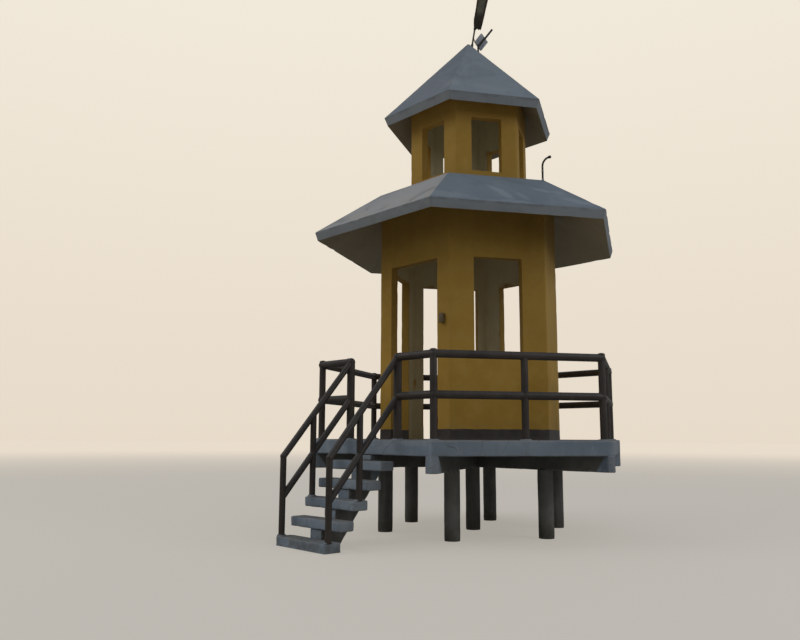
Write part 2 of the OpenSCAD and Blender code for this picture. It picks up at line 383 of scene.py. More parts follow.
def wall_paint():
    k = Mat("ochre_wall")
    big = k.noise(0.9, 4, 0.55)
    mid = k.noise(5.5, 5, 0.6)
    fine = k.noise(70, 3, 0.6)
    streak = k.noise(1.0, 5, 0.6, vec=k.stretch((7, 7, 0.9)))
    ochre = k.mix(k.step(big, 0.32, 0.70), (0.500, 0.285, 0.037), (0.585, 0.350, 0.056))
    ochre = k.mix(k.mul(k.step(mid, 0.45, 0.75), 0.35), ochre, (0.640, 0.410, 0.110))
    ochre = k.mix(k.mul(k.step(mid, 0.50, 0.25), 0.22), ochre, (0.400, 0.220, 0.030))
    # rain-washed dirt below the eaves and the upper eaves, in streaks, over painted shade of the eaves that darkens
    # the wall tops
    top1 = k.mul(k.step(k.z, DECK + 1.75, DECK + 2.75), k.step(k.z, DECK + 3.30, DECK + 3.20))
    top2 = k.step(k.z, DECK + 3.95, DECK + 4.45)
    dirt_and_eave_shade = k.add(k.add(top1, top2), 0.10)
    dirt_and_eave_shade = k.mul(dirt_and_eave_shade, k.add(k.mul(k.step(streak, 0.30, 0.72), 0.09), 0.10))
    ochre = k.mix(dirt_and_eave_shade, ochre, (0.230, 0.145, 0.045))
    # splash dirt above the dark band
    splash = k.mul(k.step(k.z, DECK + 0.30, DECK + 0.12), k.step(k.noise(7, 6, 0.65), 0.40, 0.72))
    ochre = k.mix(k.mul(splash, 0.22), ochre, (0.300, 0.205, 0.090))
    lan = k.mul(k.step(k.z, DECK + 3.66, DECK + 3.40), k.step(k.z, DECK + 3.36, DECK + 3.39))
    ochre = k.mix(k.mul(lan, k.mul(k.step(mid, 0.3, 0.7), 0.22)), ochre, (0.260, 0.185, 0.095))
    ochre = k.mix(k.mul(k.step(fine, 0.35, 0.75), 0.10), ochre, (0.660, 0.440, 0.160))
    # inside faces
    hexd = k.hexd()
    ochre = k.mix(k.step(k.z, DECK + 1.45, DECK + 0.75), ochre, (1.20, 1.20, 1.24), "MULTIPLY")
    # painted shade: the tops of the room walls darkened under the lower eaves
    ochre = k.mix(k.mul(k.step(k.z, DECK + 2.36, DECK + 2.86), k.step(k.z, DECK + 3.39, DECK + 3.37)), ochre, (0.80, 0.79, 0.88), "MULTIPLY")
    # painted light: the head of the lantern lightened under the cap
    ochre = k.mix(k.step(k.z, DECK + 4.12, DECK + 4.42), ochre, (1.16, 1.13, 1.24), "MULTIPLY")
    # the wall right of the stair is a little darker towards its far corner
    fr = k.mul(k.step(k.add(k.mul(k.nx, 0.866), k.mul(k.ny, -0.5)), 0.88, 0.97), k.step(k.x, 1.02, 1.20))
    ochre = k.mix(k.mul(fr, k.step(k.z, DECK + 3.39, DECK + 3.37)), ochre, (0.88, 0.86, 0.80), "MULTIPLY")
    # painted light: the walls that face 30 degrees are painted paler and bluer, as lit by the sky on that side
    pale = k.step(k.add(k.mul(k.nx, math.cos(RAD(30))), k.mul(k.ny, 0.5)), 0.72, 0.92)
    ochre = k.mix(pale, ochre, (1.03, 1.06, 1.27), "MULTIPLY")
    # painted shade in the reveals of the room's doors and windows
    reveal_shade = k.mul(k.mul(k.step(hexd, 1.0060, 1.0100), k.step(hexd, 1.1190, 1.1110)), k.step(k.z, DECK + 2.45, DECK + 2.40))
    ochre = k.mix(reveal_shade, ochre, (0.84, 0.84, 0.84), "MULTIPLY")
    low = k.step(hexd, 1.0095, 1.0055)
    high = k.mul(k.step(hexd, 0.6410, 0.6370), k.step(k.z, DECK + 3.37, DECK + 3.39))
    lower_part = k.step(k.z, DECK + 3.39, DECK + 3.37)
    inside = k.math("MINIMUM", k.add(k.mul(low, lower_part), high), 1.0)
    inner = k.mix(k.step(big, 0.3, 0.7), (0.800, 0.690, 0.455), (0.860, 0.760, 0.520))
    inner = k.mix(k.step(k.z, DECK + 3.37, DECK + 3.39), inner, (0.920, 0.830, 0.560))
    inner = k.mix(k.mul(k.step(streak, 0.45, 0.75), 0.22), inner, (0.450, 0.385, 0.260))
    inner = k.mix(k.mul(k.step(mid, 0.55, 0.8), 0.25), inner, (0.640, 0.590, 0.470))
    col = k.mix(inside, ochre, inner)
    # cracks
    cr = k.mul(k.cracks(0.85, 0.0028, 0.35), k.step(k.noise(0.8, 2, 0.5), 0.52, 0.60))
    outer = k.add(k.mul(inside, -1.0), 1.0)
    col = k.mix(k.mul(k.mul(cr, 0.40), outer), col, (0.200, 0.125, 0.045))
    # chips along the edges
    edge = k.attr("edge")
    chipn = k.noise(26, 5, 0.65)
    chip = k.step(k.add(k.mul(edge, 0.36), chipn), 0.97, 1.00)
    col = k.mix(chip, col, (0.430, 0.405, 0.350))
    rubbed = k.mul(k.step(k.add(k.mul(edge, 0.28), chipn), 0.76, 0.98), 0.35)
    col = k.mix(k.mul(rubbed, outer), col, (0.640, 0.430, 0.150))
    # dark band painted round the foot, and all over the kerb
    wavy = k.add(k.z, k.mul(k.add(k.noise(9, 3, 0.5), -0.5), 0.020))
    kerb = k.mul(k.step(k.add(k.mul(k.x, -0.866), k.mul(k.y, -0.5)), 0.97, 0.99),
                 k.step(k.math("ABSOLUTE", k.add(k.mul(k.x, 0.5), k.mul(k.y, -0.866))), 0.312, 0.306))
    band = k.mul(k.step(wavy, DECK + 0.1325, DECK + 0.1275), k.math("MAXIMUM", outer, kerb))
    dark = k.mix(k.step(mid, 0.3, 0.7), (0.068, 0.058, 0.053), (0.106, 0.092, 0.082))
    dark = k.mix(k.mul(k.step(chipn, 0.60, 0.70), 0.6), dark, (0.115, 0.098, 0.080))
    dark = k.mix(k.mul(k.step(k.z, DECK + 0.06, DECK), 0.45), dark, (0.140, 0.125, 0.105))
    col = k.mix(band, col, dark)
    rough = k.add(k.mul(mid, 0.18), k.mul(band, -0.18))
    rough = k.add(rough, 0.60)
    h = k.add(k.mul(k.noise(7, 4, 0.55), 1.0), k.mul(k.noise(140, 3, 0.6), 0.16))
    h = k.add(h, k.mul(cr, -0.25))
    h = k.add(h, k.mul(chip, -0.35))
    nrm = k.bump(h, 0.55, 0.006)
    return k.finish(col, rough, nrm, spec=0.35)


def roof_paint():
    k = Mat("roof_grey")
    big = k.noise(0.75, 4, 0.6)
    mid = k.noise(3.6, 5, 0.6)
    fine = k.noise(55, 4, 0.65)
    ang = k.math("ARCTAN2", k.y, k.x)
    rad = k.math("SQRT", k.add(k.mul(k.x, k.x), k.mul(k.y, k.y)))
    run = k.noise(1.0, 5, 0.62, vec=k.vec(k.mul(ang, 7.0), k.mul(rad, 0.9), k.mul(k.z, 0.35)))
    low_roof = k.step(k.z, DECK + 3.395, DECK + 3.385)
    col = k.mix(k.step(big, 0.30, 0.72), (0.268, 0.312, 0.368), (0.328, 0.374, 0.428))
    cap = k.step(k.z, DECK + 4.42, DECK + 4.46)
    col = k.mix(k.mul(cap, 0.45), col, (0.420, 0.460, 0.505))
    # soft pale and dark clouds
    cloud = k.noise(1.7, 4, 0.55, dist=0.8)
    col = k.mix(k.mul(k.step(cloud, 0.52, 0.70), 0.45), col, (0.420, 0.462, 0.505))
    col = k.mix(k.mul(k.step(cloud, 0.46, 0.30), 0.40), col, (0.215, 0.248, 0.290))
    col = k.mix(k.mul(k.step(run, 0.54, 0.80), 0.30), col, (0.165, 0.180, 0.195))
    col = k.mix(k.mul(k.step(run, 0.42, 0.24), 0.22), col, (0.370, 0.400, 0.430))
    # brushed pale smears, where water has dried on the slope to the right of the stair
    smear_and_highlight = k.blobs((((1.19, -0.93, 4.32), (1.51, -0.94, 4.10), 0.060, 0.75), ((1.40, -0.99, 4.16), (1.55, -0.97, 4.06), 0.045, 0.55),
                     ((1.46, -0.40, 4.34), (1.58, -0.30, 4.30), 0.055, 0.65), ((1.58, -0.30, 4.30), (1.71, -0.12, 4.28), 0.040, 0.45),
                     ((1.03, -1.84, 4.08), (1.20, -1.59, 4.06), 0.110, 0.50), ((1.47, -1.29, 4.00), (1.71, -0.84, 4.00), 0.060, 0.45),
                     ((1.82, -0.26, 4.15), (2.03, -0.10, 4.08), 0.080, 0.50), ((1.47, -0.73, 4.21), (1.63, -0.78, 4.09), 0.045, 0.45),
                     ((0.30, -1.10, 6.05), (0.55, -0.95, 5.98), 0.150, 0.70), ((0.75, -0.72, 6.00), (0.98, -0.45, 5.92), 0.120, 0.50)))
    col = k.mix(k.mul(smear_and_highlight, 0.80), col, (0.480, 0.520, 0.558))
    col = k.mix(cap, col, (0.94, 0.99, 1.02), "MULTIPLY")
    shade = k.mul(k.mul(cap, k.step(k.mul(k.ny, -1.0), 0.40, 0.62)), k.step(k.nz, 0.3, 0.5))
    col = k.mix(shade, col, (0.82, 0.82, 0.84), "MULTIPLY")
    # painted shade: the lower roof's slopes that face the front right made darker
    right = k.mul(low_roof, k.step(k.add(k.mul(k.nx, 0.866), k.mul(k.ny, -0.5)), 0.42, 0.56))
    col = k.mix(right, col, (0.85, 0.91, 0.95), "MULTIPLY")
    # painted light: the lower roof's slopes that face the left front painted paler, and warmer near the eaves, as lit
    # by the glow of the sky on that side
    lit = k.add(k.mul(k.nx, -0.7071), k.mul(k.ny, -0.7071))
    sky_glow_side = k.mul(k.mul(k.step(lit, 0.05, 0.45), k.step(k.nz, 0.3, 0.6)), low_roof)
    sky_glow_colour = k.mix(k.step(big, 0.3, 0.7), (0.540, 0.566, 0.604), (0.640, 0.652, 0.675))
    warm_glow_low = k.mul(k.step(k.z, DECK + 3.22, DECK + 2.86), k.step(mid, 0.30, 0.62))
    sky_glow_colour = k.mix(k.mul(warm_glow_low, 0.75), sky_glow_colour, (0.650, 0.625, 0.565))
    sky_glow_colour = k.mix(k.mul(k.step(cloud, 0.46, 0.32), 0.5), sky_glow_colour, (0.270, 0.285, 0.310))
    col = k.mix(k.mul(sky_glow_side, 0.88), col, sky_glow_colour)
    # eaves faces: more neutral, with a dark line of painted shade along the top, and lightly marked by drips
    side = k.mul(k.step(k.nz, 0.42, 0.20), k.step(k.nz, -0.75, -0.45))
    drip = k.noise(1.0, 4, 0.6, vec=k.stretch((6, 6, 1.2)))
    face = k.mix(k.step(big, 0.3, 0.7), (0.300, 0.330, 0.352), (0.364, 0.392, 0.412))
    face = k.mix(k.mul(k.step(drip, 0.50, 0.78), 0.28), face, (0.180, 0.190, 0.190))
    face = k.mix(k.mul(k.step(drip, 0.42, 0.25), 0.20), face, (0.390, 0.405, 0.410))
    wz = k.add(k.z, k.mul(k.add(k.noise(2.6, 4, 0.6), -0.5), 0.05))
    t1 = k.mul(k.step(wz, DECK + 2.735, DECK + 2.775), k.step(k.z, DECK + 2.90, DECK + 2.85))
    t2 = k.mul(k.step(wz, DECK + 4.475, DECK + 4.520), k.step(k.z, DECK + 4.62, DECK + 4.58))
    face = k.mix(k.mul(k.add(t1, t2), k.mul(k.step(mid, 0.36, 0.60), 0.60)), face, (0.165, 0.185, 0.205))
    col = k.mix(side, col, face)
    # underside
    under = k.step(k.nz, -0.42, -0.56)
    sof = k.mix(k.step(big, 0.3, 0.7), (0.385, 0.348, 0.258), (0.455, 0.416, 0.318))
    sof = k.mix(k.mul(k.step(mid, 0.55, 0.78), 0.4), sof, (0.510, 0.475, 0.385))
    sof = k.mix(k.mul(k.step(mid, 0.42, 0.26), 0.4), sof, (0.285, 0.260, 0.200))
    col = k.mix(under, col, sof)
    # hairline cracks, light wear on the hips and the eaves edges
    cr = k.mul(k.cracks(1.15, 0.0028, 0.30), k.step(k.noise(0.9, 2, 0.5), 0.50, 0.60))
    col = k.mix(k.mul(cr, 0.45), col, (0.120, 0.125, 0.130))
    edge = k.attr("edge")
    chipn = k.noise(20, 5, 0.65)
    rub = k.step(k.add(k.mul(edge, 0.30), chipn), 0.74, 0.98)
    col = k.mix(k.mul(rub, 0.40), col, (0.400, 0.415, 0.425))
    chip = k.step(k.add(k.mul(edge, 0.34), chipn), 0.96, 0.99)
    col = k.mix(chip, col, (0.310, 0.290, 0.250))
    col = k.mix(k.mul(k.step(fine, 0.58, 0.72), 0.20), col, (0.170, 0.180, 0.188))
    rough = k.add(k.mul(mid, 0.22), 0.56)
    h = k.add(k.mul(k.noise(5.5, 5, 0.6), 1.0), k.mul(k.noise(90, 4, 0.65), 0.20))
    h = k.add(h, k.mul(cr, -0.25))
    h = k.add(h, k.mul(chip, -0.3))
    return k.finish(col, rough, k.bump(h, 0.60, 0.007), spec=0.4)


def deck_paint():
    k = Mat("deck_grey")
    big = k.noise(1.1, 4, 0.6)
    mid = k.noise(5.0, 5, 0.62)
    fine = k.noise(60, 4, 0.65)
    streak = k.noise(1.0, 5, 0.6, vec=k.stretch((9, 9, 1.1)))
    col = k.mix(k.step(big, 0.30, 0.70), (0.255, 0.296, 0.340), (0.335, 0.375, 0.415))
    col = k.mix(k.mul(k.step(mid, 0.52, 0.75), 0.50), col, (0.440, 0.470, 0.495))
    col = k.mix(k.mul(k.step(mid, 0.45, 0.25), 0.42), col, (0.190, 0.212, 0.235))
    col = k.mix(k.mul(k.step(streak, 0.55, 0.78), 0.32), col, (0.165, 0.175, 0.180))
    # painted highlights: pale stripes down the deck's corners and beam ends, and along the top edge of its faces
    smear_and_highlight = k.blobs((((1.13, -1.95, 1.19), (1.13, -1.95, 0.84), 0.050, 0.80), ((2.23, 0.0, 1.19), (2.23, 0.0, 0.84), 0.060, 0.55),
                     ((-1.13, -1.95, 1.19), (-1.13, -1.95, 0.84), 0.060, 0.55), ((1.45, -1.40, 1.17), (1.75, -0.90, 1.16), 0.040, 0.50),
                     ((0.55, -1.93, 1.17), (0.95, -1.93, 1.16), 0.040, 0.50)), warp=0.05)
    col = k.mix(k.mul(smear_and_highlight, 0.60), col, (0.520, 0.560, 0.590))
    # painted light: faces turned to the front painted lighter and bluer
    front = k.step(k.mul(k.ny, -1.0), 0.35, 0.80)
    col = k.mix(front, col, (1.12, 1.21, 1.31), "MULTIPLY")
    # painted shade: the slab's faces turned to the front right made darker
    right = k.mul(k.step(k.add(k.mul(k.nx, 0.866), k.mul(k.ny, -0.5)), 0.85, 0.97), k.step(k.z, DECK - SLAB_T - 0.008, DECK - SLAB_T))
    col = k.mix(right, col, (0.86, 0.90, 0.93), "MULTIPLY")
    butt = k.mul(k.step(k.x, 2.04, 2.10), k.step(k.z, DECK - SLAB_T, DECK - SLAB_T - 0.010))
    col = k.mix(butt, col, (0.69, 0.70, 0.72), "MULTIPLY")
    # walked and dusty tops
    up = k.step(k.nz, 0.6, 0.9)
    dust = k.mix(k.step(mid, 0.3, 0.7), (0.245, 0.240, 0.222), (0.345, 0.335, 0.305))
    col = k.mix(k.mul(up, k.step(k.noise(2.3, 6, 0.65), 0.32, 0.66)), col, dust)
    # undersides, the beam sides back from their ends and the spine's sides: bare dark concrete deepened by painted
    # shade, the slanting line on the beam sides being a painted shadow edge
    under = k.step(k.nz, -0.6, -0.9)
    slant = k.add(k.hexd(), k.mul(k.add(k.mul(k.z, -1.0), DECK - SLAB_T), 0.60))
    sides = k.mul(k.step(k.z, DECK - SLAB_T - 0.004, DECK - SLAB_T - 0.010), k.step(slant, 1.905, 1.865))
    inner = k.mul(sides, k.step(k.y, -1.93, -1.90))
    spine = k.mul(k.mul(k.step(k.math("ABSOLUTE", k.nx), 0.60, 0.85), k.step(k.math("ABSOLUTE", k.x), 0.135, 0.112)),
                  k.mul(k.step(k.y, -1.90, -1.93), k.step(k.z, DECK - SLAB_T - 0.004, DECK - SLAB_T - 0.010)))
    under = k.math("MAXIMUM", k.math("MAXIMUM", under, inner), spine)
    bare_and_shaded = k.mix(k.step(mid, 0.3, 0.7), (0.150, 0.147, 0.135), (0.208, 0.204, 0.188))
    boards = k.noise(1.0, 2, 0.5, vec=k.stretch((0.7, 7.5, 1)))
    bare_and_shaded = k.mix(k.mul(k.step(boards, 0.46, 0.54), 0.35), bare_and_shaded, (0.095, 0.093, 0.086))
    col = k.mix(under, col, bare_and_shaded)
    # soil low down
    soil = k.mul(k.step(k.z, 0.30, 0.0), k.step(k.noise(6, 5, 0.6), 0.35, 0.65))
    col = k.mix(k.mul(soil, 0.6), col, (0.130, 0.112, 0.085))
    cr = k.mul(k.cracks(1.6, 0.0040, 0.25), k.step(k.noise(1.2, 2, 0.5), 0.50, 0.60))
    col = k.mix(k.mul(cr, 0.7), col, (0.075, 0.075, 0.072))
    edge = k.attr("edge")
    chipn = k.noise(24, 5, 0.65)
    rub = k.step(k.add(k.mul(edge, 0.34), chipn), 0.70, 0.94)
    col = k.mix(k.mul(rub, 0.55), col, (0.400, 0.410, 0.410))
    chip = k.step(k.add(k.mul(edge, 0.40), chipn), 0.93, 0.96)
    col = k.mix(chip, col, (0.270, 0.250, 0.215))
    col = k.mix(k.mul(k.step(fine, 0.60, 0.74), 0.30), col, (0.135, 0.140, 0.140))
    rough = k.add(k.mul(mid, 0.20), 0.60)
    h = k.add(k.mul(k.noise(8, 5, 0.6), 1.0), k.mul(k.noise(110, 4, 0.65), 0.22))
    h = k.add(h, k.mul(cr, -0.3))
    h = k.add(h, k.mul(chip, -0.4))
    return k.finish(col, rough, k.bump(h, 0.60, 0.006), spec=0.35)


def pier_concrete():
    k = Mat("pier_concrete")
    big = k.noise(2.0, 4, 0.6)
    mid = k.noise(9.0, 5, 0.65)
    run = k.noise(1.0, 5, 0.6, vec=k.stretch((16, 16, 1.4)))
    col = k.mix(k.step(big, 0.3, 0.7), (0.185, 0.185, 0.172), (0.268, 0.266, 0.246))
    col = k.mix(k.mul(k.step(mid, 0.55, 0.78), 0.5), col, (0.255, 0.250, 0.230))
    col = k.mix(k.mul(k.step(run, 0.50, 0.75), 0.55), col, (0.070, 0.070, 0.064))
    damp = k.mul(k.step(k.z, 0.32, 0.02), k.step(mid, 0.2, 0.6))
    col = k.mix(k.mul(damp, 0.65), col, (0.085, 0.075, 0.055))
    pits = k.node("ShaderNodeTexVoronoi")
    pits.inputs["Scale"].default_value = 75
    k.link(k.obj, pits.inputs["Vector"])
    pit = k.mul(k.step(pits.outputs["Distance"], 0.26, 0.14), k.step(k.noise(12, 3, 0.5), 0.52, 0.62))
    col = k.mix(k.mul(pit, 0.8), col, (0.045, 0.044, 0.040))
    h = k.add(k.mul(k.noise(14, 5, 0.6), 0.8), k.mul(k.noise(160, 3, 0.6), 0.2))
    h = k.add(h, k.mul(pit, -0.6))
    return k.finish(col, k.add(k.mul(mid, 0.15), 0.72), k.bump(h, 0.7, 0.004), spec=0.3)


def rail_paint():
    k = Mat("rail_brown")
    big = k.noise(3.5, 4, 0.6)
    mid = k.noise(22, 5, 0.65)
    fine = k.noise(160, 3, 0.6)
    col = k.mix(k.step(big, 0.3, 0.7), (0.048, 0.039, 0.033), (0.078, 0.064, 0.055))
    # faded and dusty on top, with a painted bluish reflection of the sky along the top
    up = k.step(k.nz, 0.15, 0.95)
    col = k.mix(k.mul(up, k.mul(k.step(mid, 0.20, 0.70), 0.70)), col, (0.130, 0.134, 0.138))
    # rust at the foot of each post, under the rails and in scattered spots
    foot = k.mul(k.step(k.z, DECK + 0.10, DECK + 0.01), k.step(k.z, DECK - 0.03, DECK - 0.01))
    foot = k.add(foot, k.step(k.z, PAD_H + 0.10, PAD_H + 0.01))
    j1 = k.step(k.math("ABSOLUTE", k.add(k.z, -(DECK + MID_H))), 0.075, 0.030)
    j2 = k.step(k.math("ABSOLUTE", k.add(k.z, -(DECK + RAIL_H))), 0.075, 0.030)
    near = k.add(k.mul(foot, 0.12), k.mul(k.add(j1, j2), 0.03))
    rustm = k.step(k.add(k.noise(13, 6, 0.68), near), 0.70, 0.78)
    rust = k.mix(mid, (0.085, 0.032, 0.012), (0.210, 0.085, 0.030))
    col = k.mix(k.mul(rustm, 0.65), col, rust)
    flake = k.step(k.noise(30, 4, 0.6), 0.66, 0.69)
    col = k.mix(k.mul(flake, 0.6), col, (0.155, 0.130, 0.108))
    rough = k.add(k.add(k.mul(mid, 0.16), 0.34), k.mul(rustm, 0.34))
    h = k.add(k.mul(k.noise(45, 4, 0.6), 0.5), k.mul(fine, 0.25))
    h = k.add(h, k.mul(rustm, 0.35))
    return k.finish(col, rough, k.bump(h, 0.45, 0.0016), spec=0.5)


def worn_metal(name, a, b, rusty=0.5, metallic=0.55):
    k = Mat(name)
    mid = k.noise(26, 5, 0.65)
    col = k.mix(k.step(mid, 0.3, 0.7), a, b)
    rustm = k.step(k.noise(19, 6, 0.7), 0.66 - 0.10 * rusty, 0.74 - 0.10 * rusty)
    col = k.mix(k.mul(rustm, 0.8), col, k.mix(k.noise(70, 3, 0.6), (0.10, 0.040, 0.015), (0.22, 0.095, 0.035)))
    grime = k.step(k.noise(60, 4, 0.6), 0.50, 0.72)
    col = k.mix(k.mul(grime, 0.35), col, (0.045, 0.043, 0.040))
    h = k.add(k.mul(k.noise(60, 4, 0.6), 0.5), k.mul(rustm, 0.4))
    met = k.add(k.mul(rustm, -metallic), metallic)
    return k.finish(col, k.add(k.mul(mid, 0.2), k.add(k.mul(rustm, 0.25), 0.40)), k.bump(h, 0.4, 0.001), metallic=met)


def cloth():
    k = Mat("flag_cloth_worn")
    mid = k.noise(14, 5, 0.65)
    w1 = k.node("ShaderNodeTexWave", wave_type="BANDS", bands_direction="Z")
    w1.inputs["Scale"].default_value = 260
    k.link(k.obj, w1.inputs["Vector"])
    w2 = k.node("ShaderNodeTexWave", wave_type="BANDS", bands_direction="DIAGONAL")
    w2.inputs["Scale"].default_value = 210
    k.link(k.obj, w2.inputs["Vector"])
    weave = k.mul(w1.outputs["Fac"], w2.outputs["Fac"])
    fade = k.attr("middle")
    dark = k.mix(k.step(mid, 0.3, 0.7), (0.028, 0.022, 0.015), (0.060, 0.045, 0.028))
    olive = k.mix(k.step(mid, 0.3, 0.7), (0.128, 0.123, 0.090), (0.198, 0.188, 0.136))
    col = k.mix(fade, dark, olive)
    col = k.mix(k.mul(k.step(k.noise(6, 5, 0.6), 0.55, 0.75), 0.5), col, (0.090, 0.055, 0.022))
    col = k.mix(k.mul(weave, 0.25), col, (0.17, 0.16, 0.13))
    m = k.finish(col, 0.92, k.bump(weave, 0.5, 0.0006), spec=0.2)
    k.b.inputs["Sheen Weight"].default_value = 0.25
    k.b.inputs["Sheen Roughness"].default_value = 0.5
    return m


def lamp_glass():
    k = Mat("lamp_glass")
    mid = k.noise(30, 4, 0.6)
    wv = k.node("ShaderNodeTexWave", wave_type="BANDS", bands_direction="X")
    wv.inputs["Scale"].default_value = 90
    k.link(k.obj, wv.inputs["Vector"])
    col = k.mix(k.step(mid, 0.3, 0.7), (0.30, 0.33, 0.34), (0.46, 0.48, 0.47))
    return k.finish(col, k.add(k.mul(mid, 0.2), 0.12), k.bump(wv.outputs["Fac"], 0.3, 0.0008), spec=0.6)


WALL = wall_paint()
ROOF = roof_paint()
DECKM = deck_paint()
PIER = pier_concrete()
RAIL = rail_paint()
GALV = worn_metal("galvanised", (0.36, 0.385, 0.420), (0.52, 0.550, 0.585), 0.05, 0.20)
POLEP = worn_metal("pole_paint", (0.085, 0.070, 0.045), (0.140, 0.118, 0.080), 0.6, 0.20)
DARKM = worn_metal("dark_fitting", (0.045, 0.043, 0.042), (0.085, 0.080, 0.076), 0.8, 0.35)
BOXM = worn_metal("brown_box", (0.165, 0.122, 0.058), (0.225, 0.172, 0.088), 0.0, 0.05)
FLAG = cloth()
GLASS = lamp_glass()


# ---------------------------------------------------------------- mesh helpers
def link(name, me, mat, nodes=(), smooth=18):
    o = bpy.data.objects.new(name, me)
    SC.collection.objects.link(o)
    me.materials.clear()
    me.materials.append(mat)
    me.shade_smooth()
    if smooth:
        me.set_sharp_from_angle(angle=RAD(smooth))
    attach(o, "root")
    if nodes:
        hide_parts(*nodes)
    return o


def to_mesh(name, bm):
    me = bpy.data.meshes.new(name)
    bm.to_mesh(me)
    bm.free()
    return me


def from_node(node):
    bm = bmesh.new()
    bm.from_mesh(N[node].data)
    bmesh.ops.remove_doubles(bm, verts=bm.verts[:], dist=2e-5)
    bmesh.ops.dissolve_limit(bm, angle_limit=RAD(0.6), verts=bm.verts[:], edges=bm.edges[:])
    return bm


def cut(bm, co, no, keep=None):
    """Cuts all faces with a plane. keep "in" removes what lies on the normal's side and closes the cut."""
    r = bmesh.ops.bisect_plane(bm, geom=bm.verts[:] + bm.edges[:] + bm.faces[:], dist=2e-6,
                               plane_co=co, plane_no=no, clear_outer=keep is not None)
    if keep is not None:
        edges = [e for e in r["geom_cut"] if isinstance(e, bmesh.types.BMEdge) and e.is_boundary]
        if edges:
            bmesh.ops.holes_fill(bm, edges=edges, sides=0)


def span(bm, n):
    d = [v.co.dot(n) for v in bm.verts]
    return min(d), max(d)


def lines(bm, n, step):
    n = Vector(n).normalized()
    lo, hi = span(bm, n)
    c = max(1, round((hi - lo) / step))
    for i in range(1, c):
        cut(bm, n * (lo + (hi - lo) * i / c), n)


def bevel(bm, width, ok=None, segs=2, angle=25):
    """Rounds the real edges and returns them as line segments."""
    sel = [e for e in bm.edges if len(e.link_faces) == 2 and e.calc_face_angle(0) > RAD(angle) and (ok is None or ok(e))]
    segs_out = [(e.verts[0].co.copy(), e.verts[1].co.copy()) for e in sel]
    if sel:
        bmesh.ops.bevel(bm, geom=sel, offset=width, offset_type="OFFSET", segments=segs, profile=0.5,
                        affect="EDGES", clamp_overlap=True)
    return segs_out


def edge_share(pts, segs, reach=0.055):
    """1 on a rounded edge, falling to 0 at reach from it."""
    if not segs:
        return np.zeros(len(pts))
    best = np.full(len(pts), 1e9)
    for a, b in segs:
        a, b = np.array(a), np.array(b)
        ab = b - a
        t = np.clip(((pts - a) @ ab) / max(ab @ ab, 1e-12), 0, 1)
        d = np.linalg.norm(pts - (a + t[:, None] * ab), axis=1)
        best = np.minimum(best, d)
    return np.clip(1 - best / reach, 0, 1)


def wobble(bm, segs, amp=0.0015, scale=2.4, chip=0.004, chip_scale=11.0, seed=0.0, guard=None):
    """Moves the surface in a little, as cast and trowelled work is, and knocks the edges. Never outwards."""
    bm.normal_update()
    pts = np.array([v.co for v in bm.verts])
    e = edge_share(pts, segs)
    layer = bm.verts.layers.float.new("edge")
    off = Vector((seed, seed * 0.7, -seed))
    moves = []
    for i, v in enumerate(bm.verts):
        v[layer] = float(e[i])
        g = 1.0 if guard is None else guard(v.co)
        h = (noise.noise(v.co * scale + off) - 1.0) * 0.5 * amp
        h += (noise.noise(v.co * scale * 3.7 + off) - 1.0) * 0.15 * amp
        if e[i] > 0.55 and chip:
            c = noise.noise(v.co * chip_scale + off * 2)
            h -= chip * max(0.0, c - 0.18) * 1.8 * e[i]
        moves.append(v.normal * h * g)
    for v, m in zip(bm.verts, moves):
        v.co += m


def drop_slivers(bm, least=12):
    """Removes groups of a few faces that the cuts left loose beside the real surface."""
    left, gone = set(bm.faces), []
    while left:
        todo, group = [left.pop()], []
        while todo:
            f = todo.pop()
            group.append(f)
            for e in f.edges:
                if len(e.link_faces) == 2:
                    for g in e.link_faces:
                        if g in left:
                            left.remove(g)
                            todo.append(g)
        if len(group) < least:
            gone += group
    if gone:
        bmesh.ops.delete(bm, geom=gone, context="FACES")


def solid_of(node, name, mat, width, ok=None, z=None, radial=None, fam=None, dirs=(0, 60, 120),
             amp=0.0015, scale=2.4, chip=0.004, seed=0.0, guard=None, segs=2, prep=None, merge=0.0):
    bm = from_node(node)
    if prep:
        prep(bm)
    s = bevel(bm, width, ok, segs)
    if z:
        lines(bm, (0, 0, 1), z)
    if radial:
        for i in range(int(180 / radial)):
            a = RAD(i * radial + radial * 0.37)
            cut(bm, Vector((0, 0, 0)), Vector((-math.sin(a), math.cos(a), 0)))
    if fam:
        for d in dirs:
            lines(bm, (math.cos(RAD(d)), math.sin(RAD(d)), 0), fam)
    wobble(bm, s, amp, scale, chip, seed=seed, guard=guard)
    if merge:
        bmesh.ops.remove_doubles(bm, verts=bm.verts[:], dist=merge)
        bmesh.ops.dissolve_degenerate(bm, dist=merge / 2, edges=bm.edges[:])
    drop_slivers(bm)
    return link(name, to_mesh(name, bm), mat, (node,))


def hex_prism(r, z0, z1):
    bm = bmesh.new()
    lo = [bm.verts.new((r * math.cos(RAD(a)), r * math.sin(RAD(a)), z0)) for a in range(0, 360, 60)]
    hi = [bm.verts.new((r * math.cos(RAD(a)), r * math.sin(RAD(a)), z1)) for a in range(0, 360, 60)]
    bm.faces.new(list(reversed(lo)))
    bm.faces.new(hi)
    for i in range(6):
        j = (i + 1) % 6
        bm.faces.new((lo[i], lo[j], hi[j], hi[i]))
    return bm


def box_bm(lo, hi, rot=0.0):
    bm = bmesh.new()
    bmesh.ops.create_cube(bm, size=1)
    lo, hi = Vector(lo), Vector(hi)
    for v in bm.verts:
        v.co = Vector(((lo + hi)[i] / 2 + v.co[i] * (hi - lo)[i] for i in range(3)))
    if rot:
        bmesh.ops.rotate(bm, cent=(0, 0, 0), matrix=Matrix.Rotation(RAD(rot), 3, "Z"), verts=bm.verts[:])
    return bm


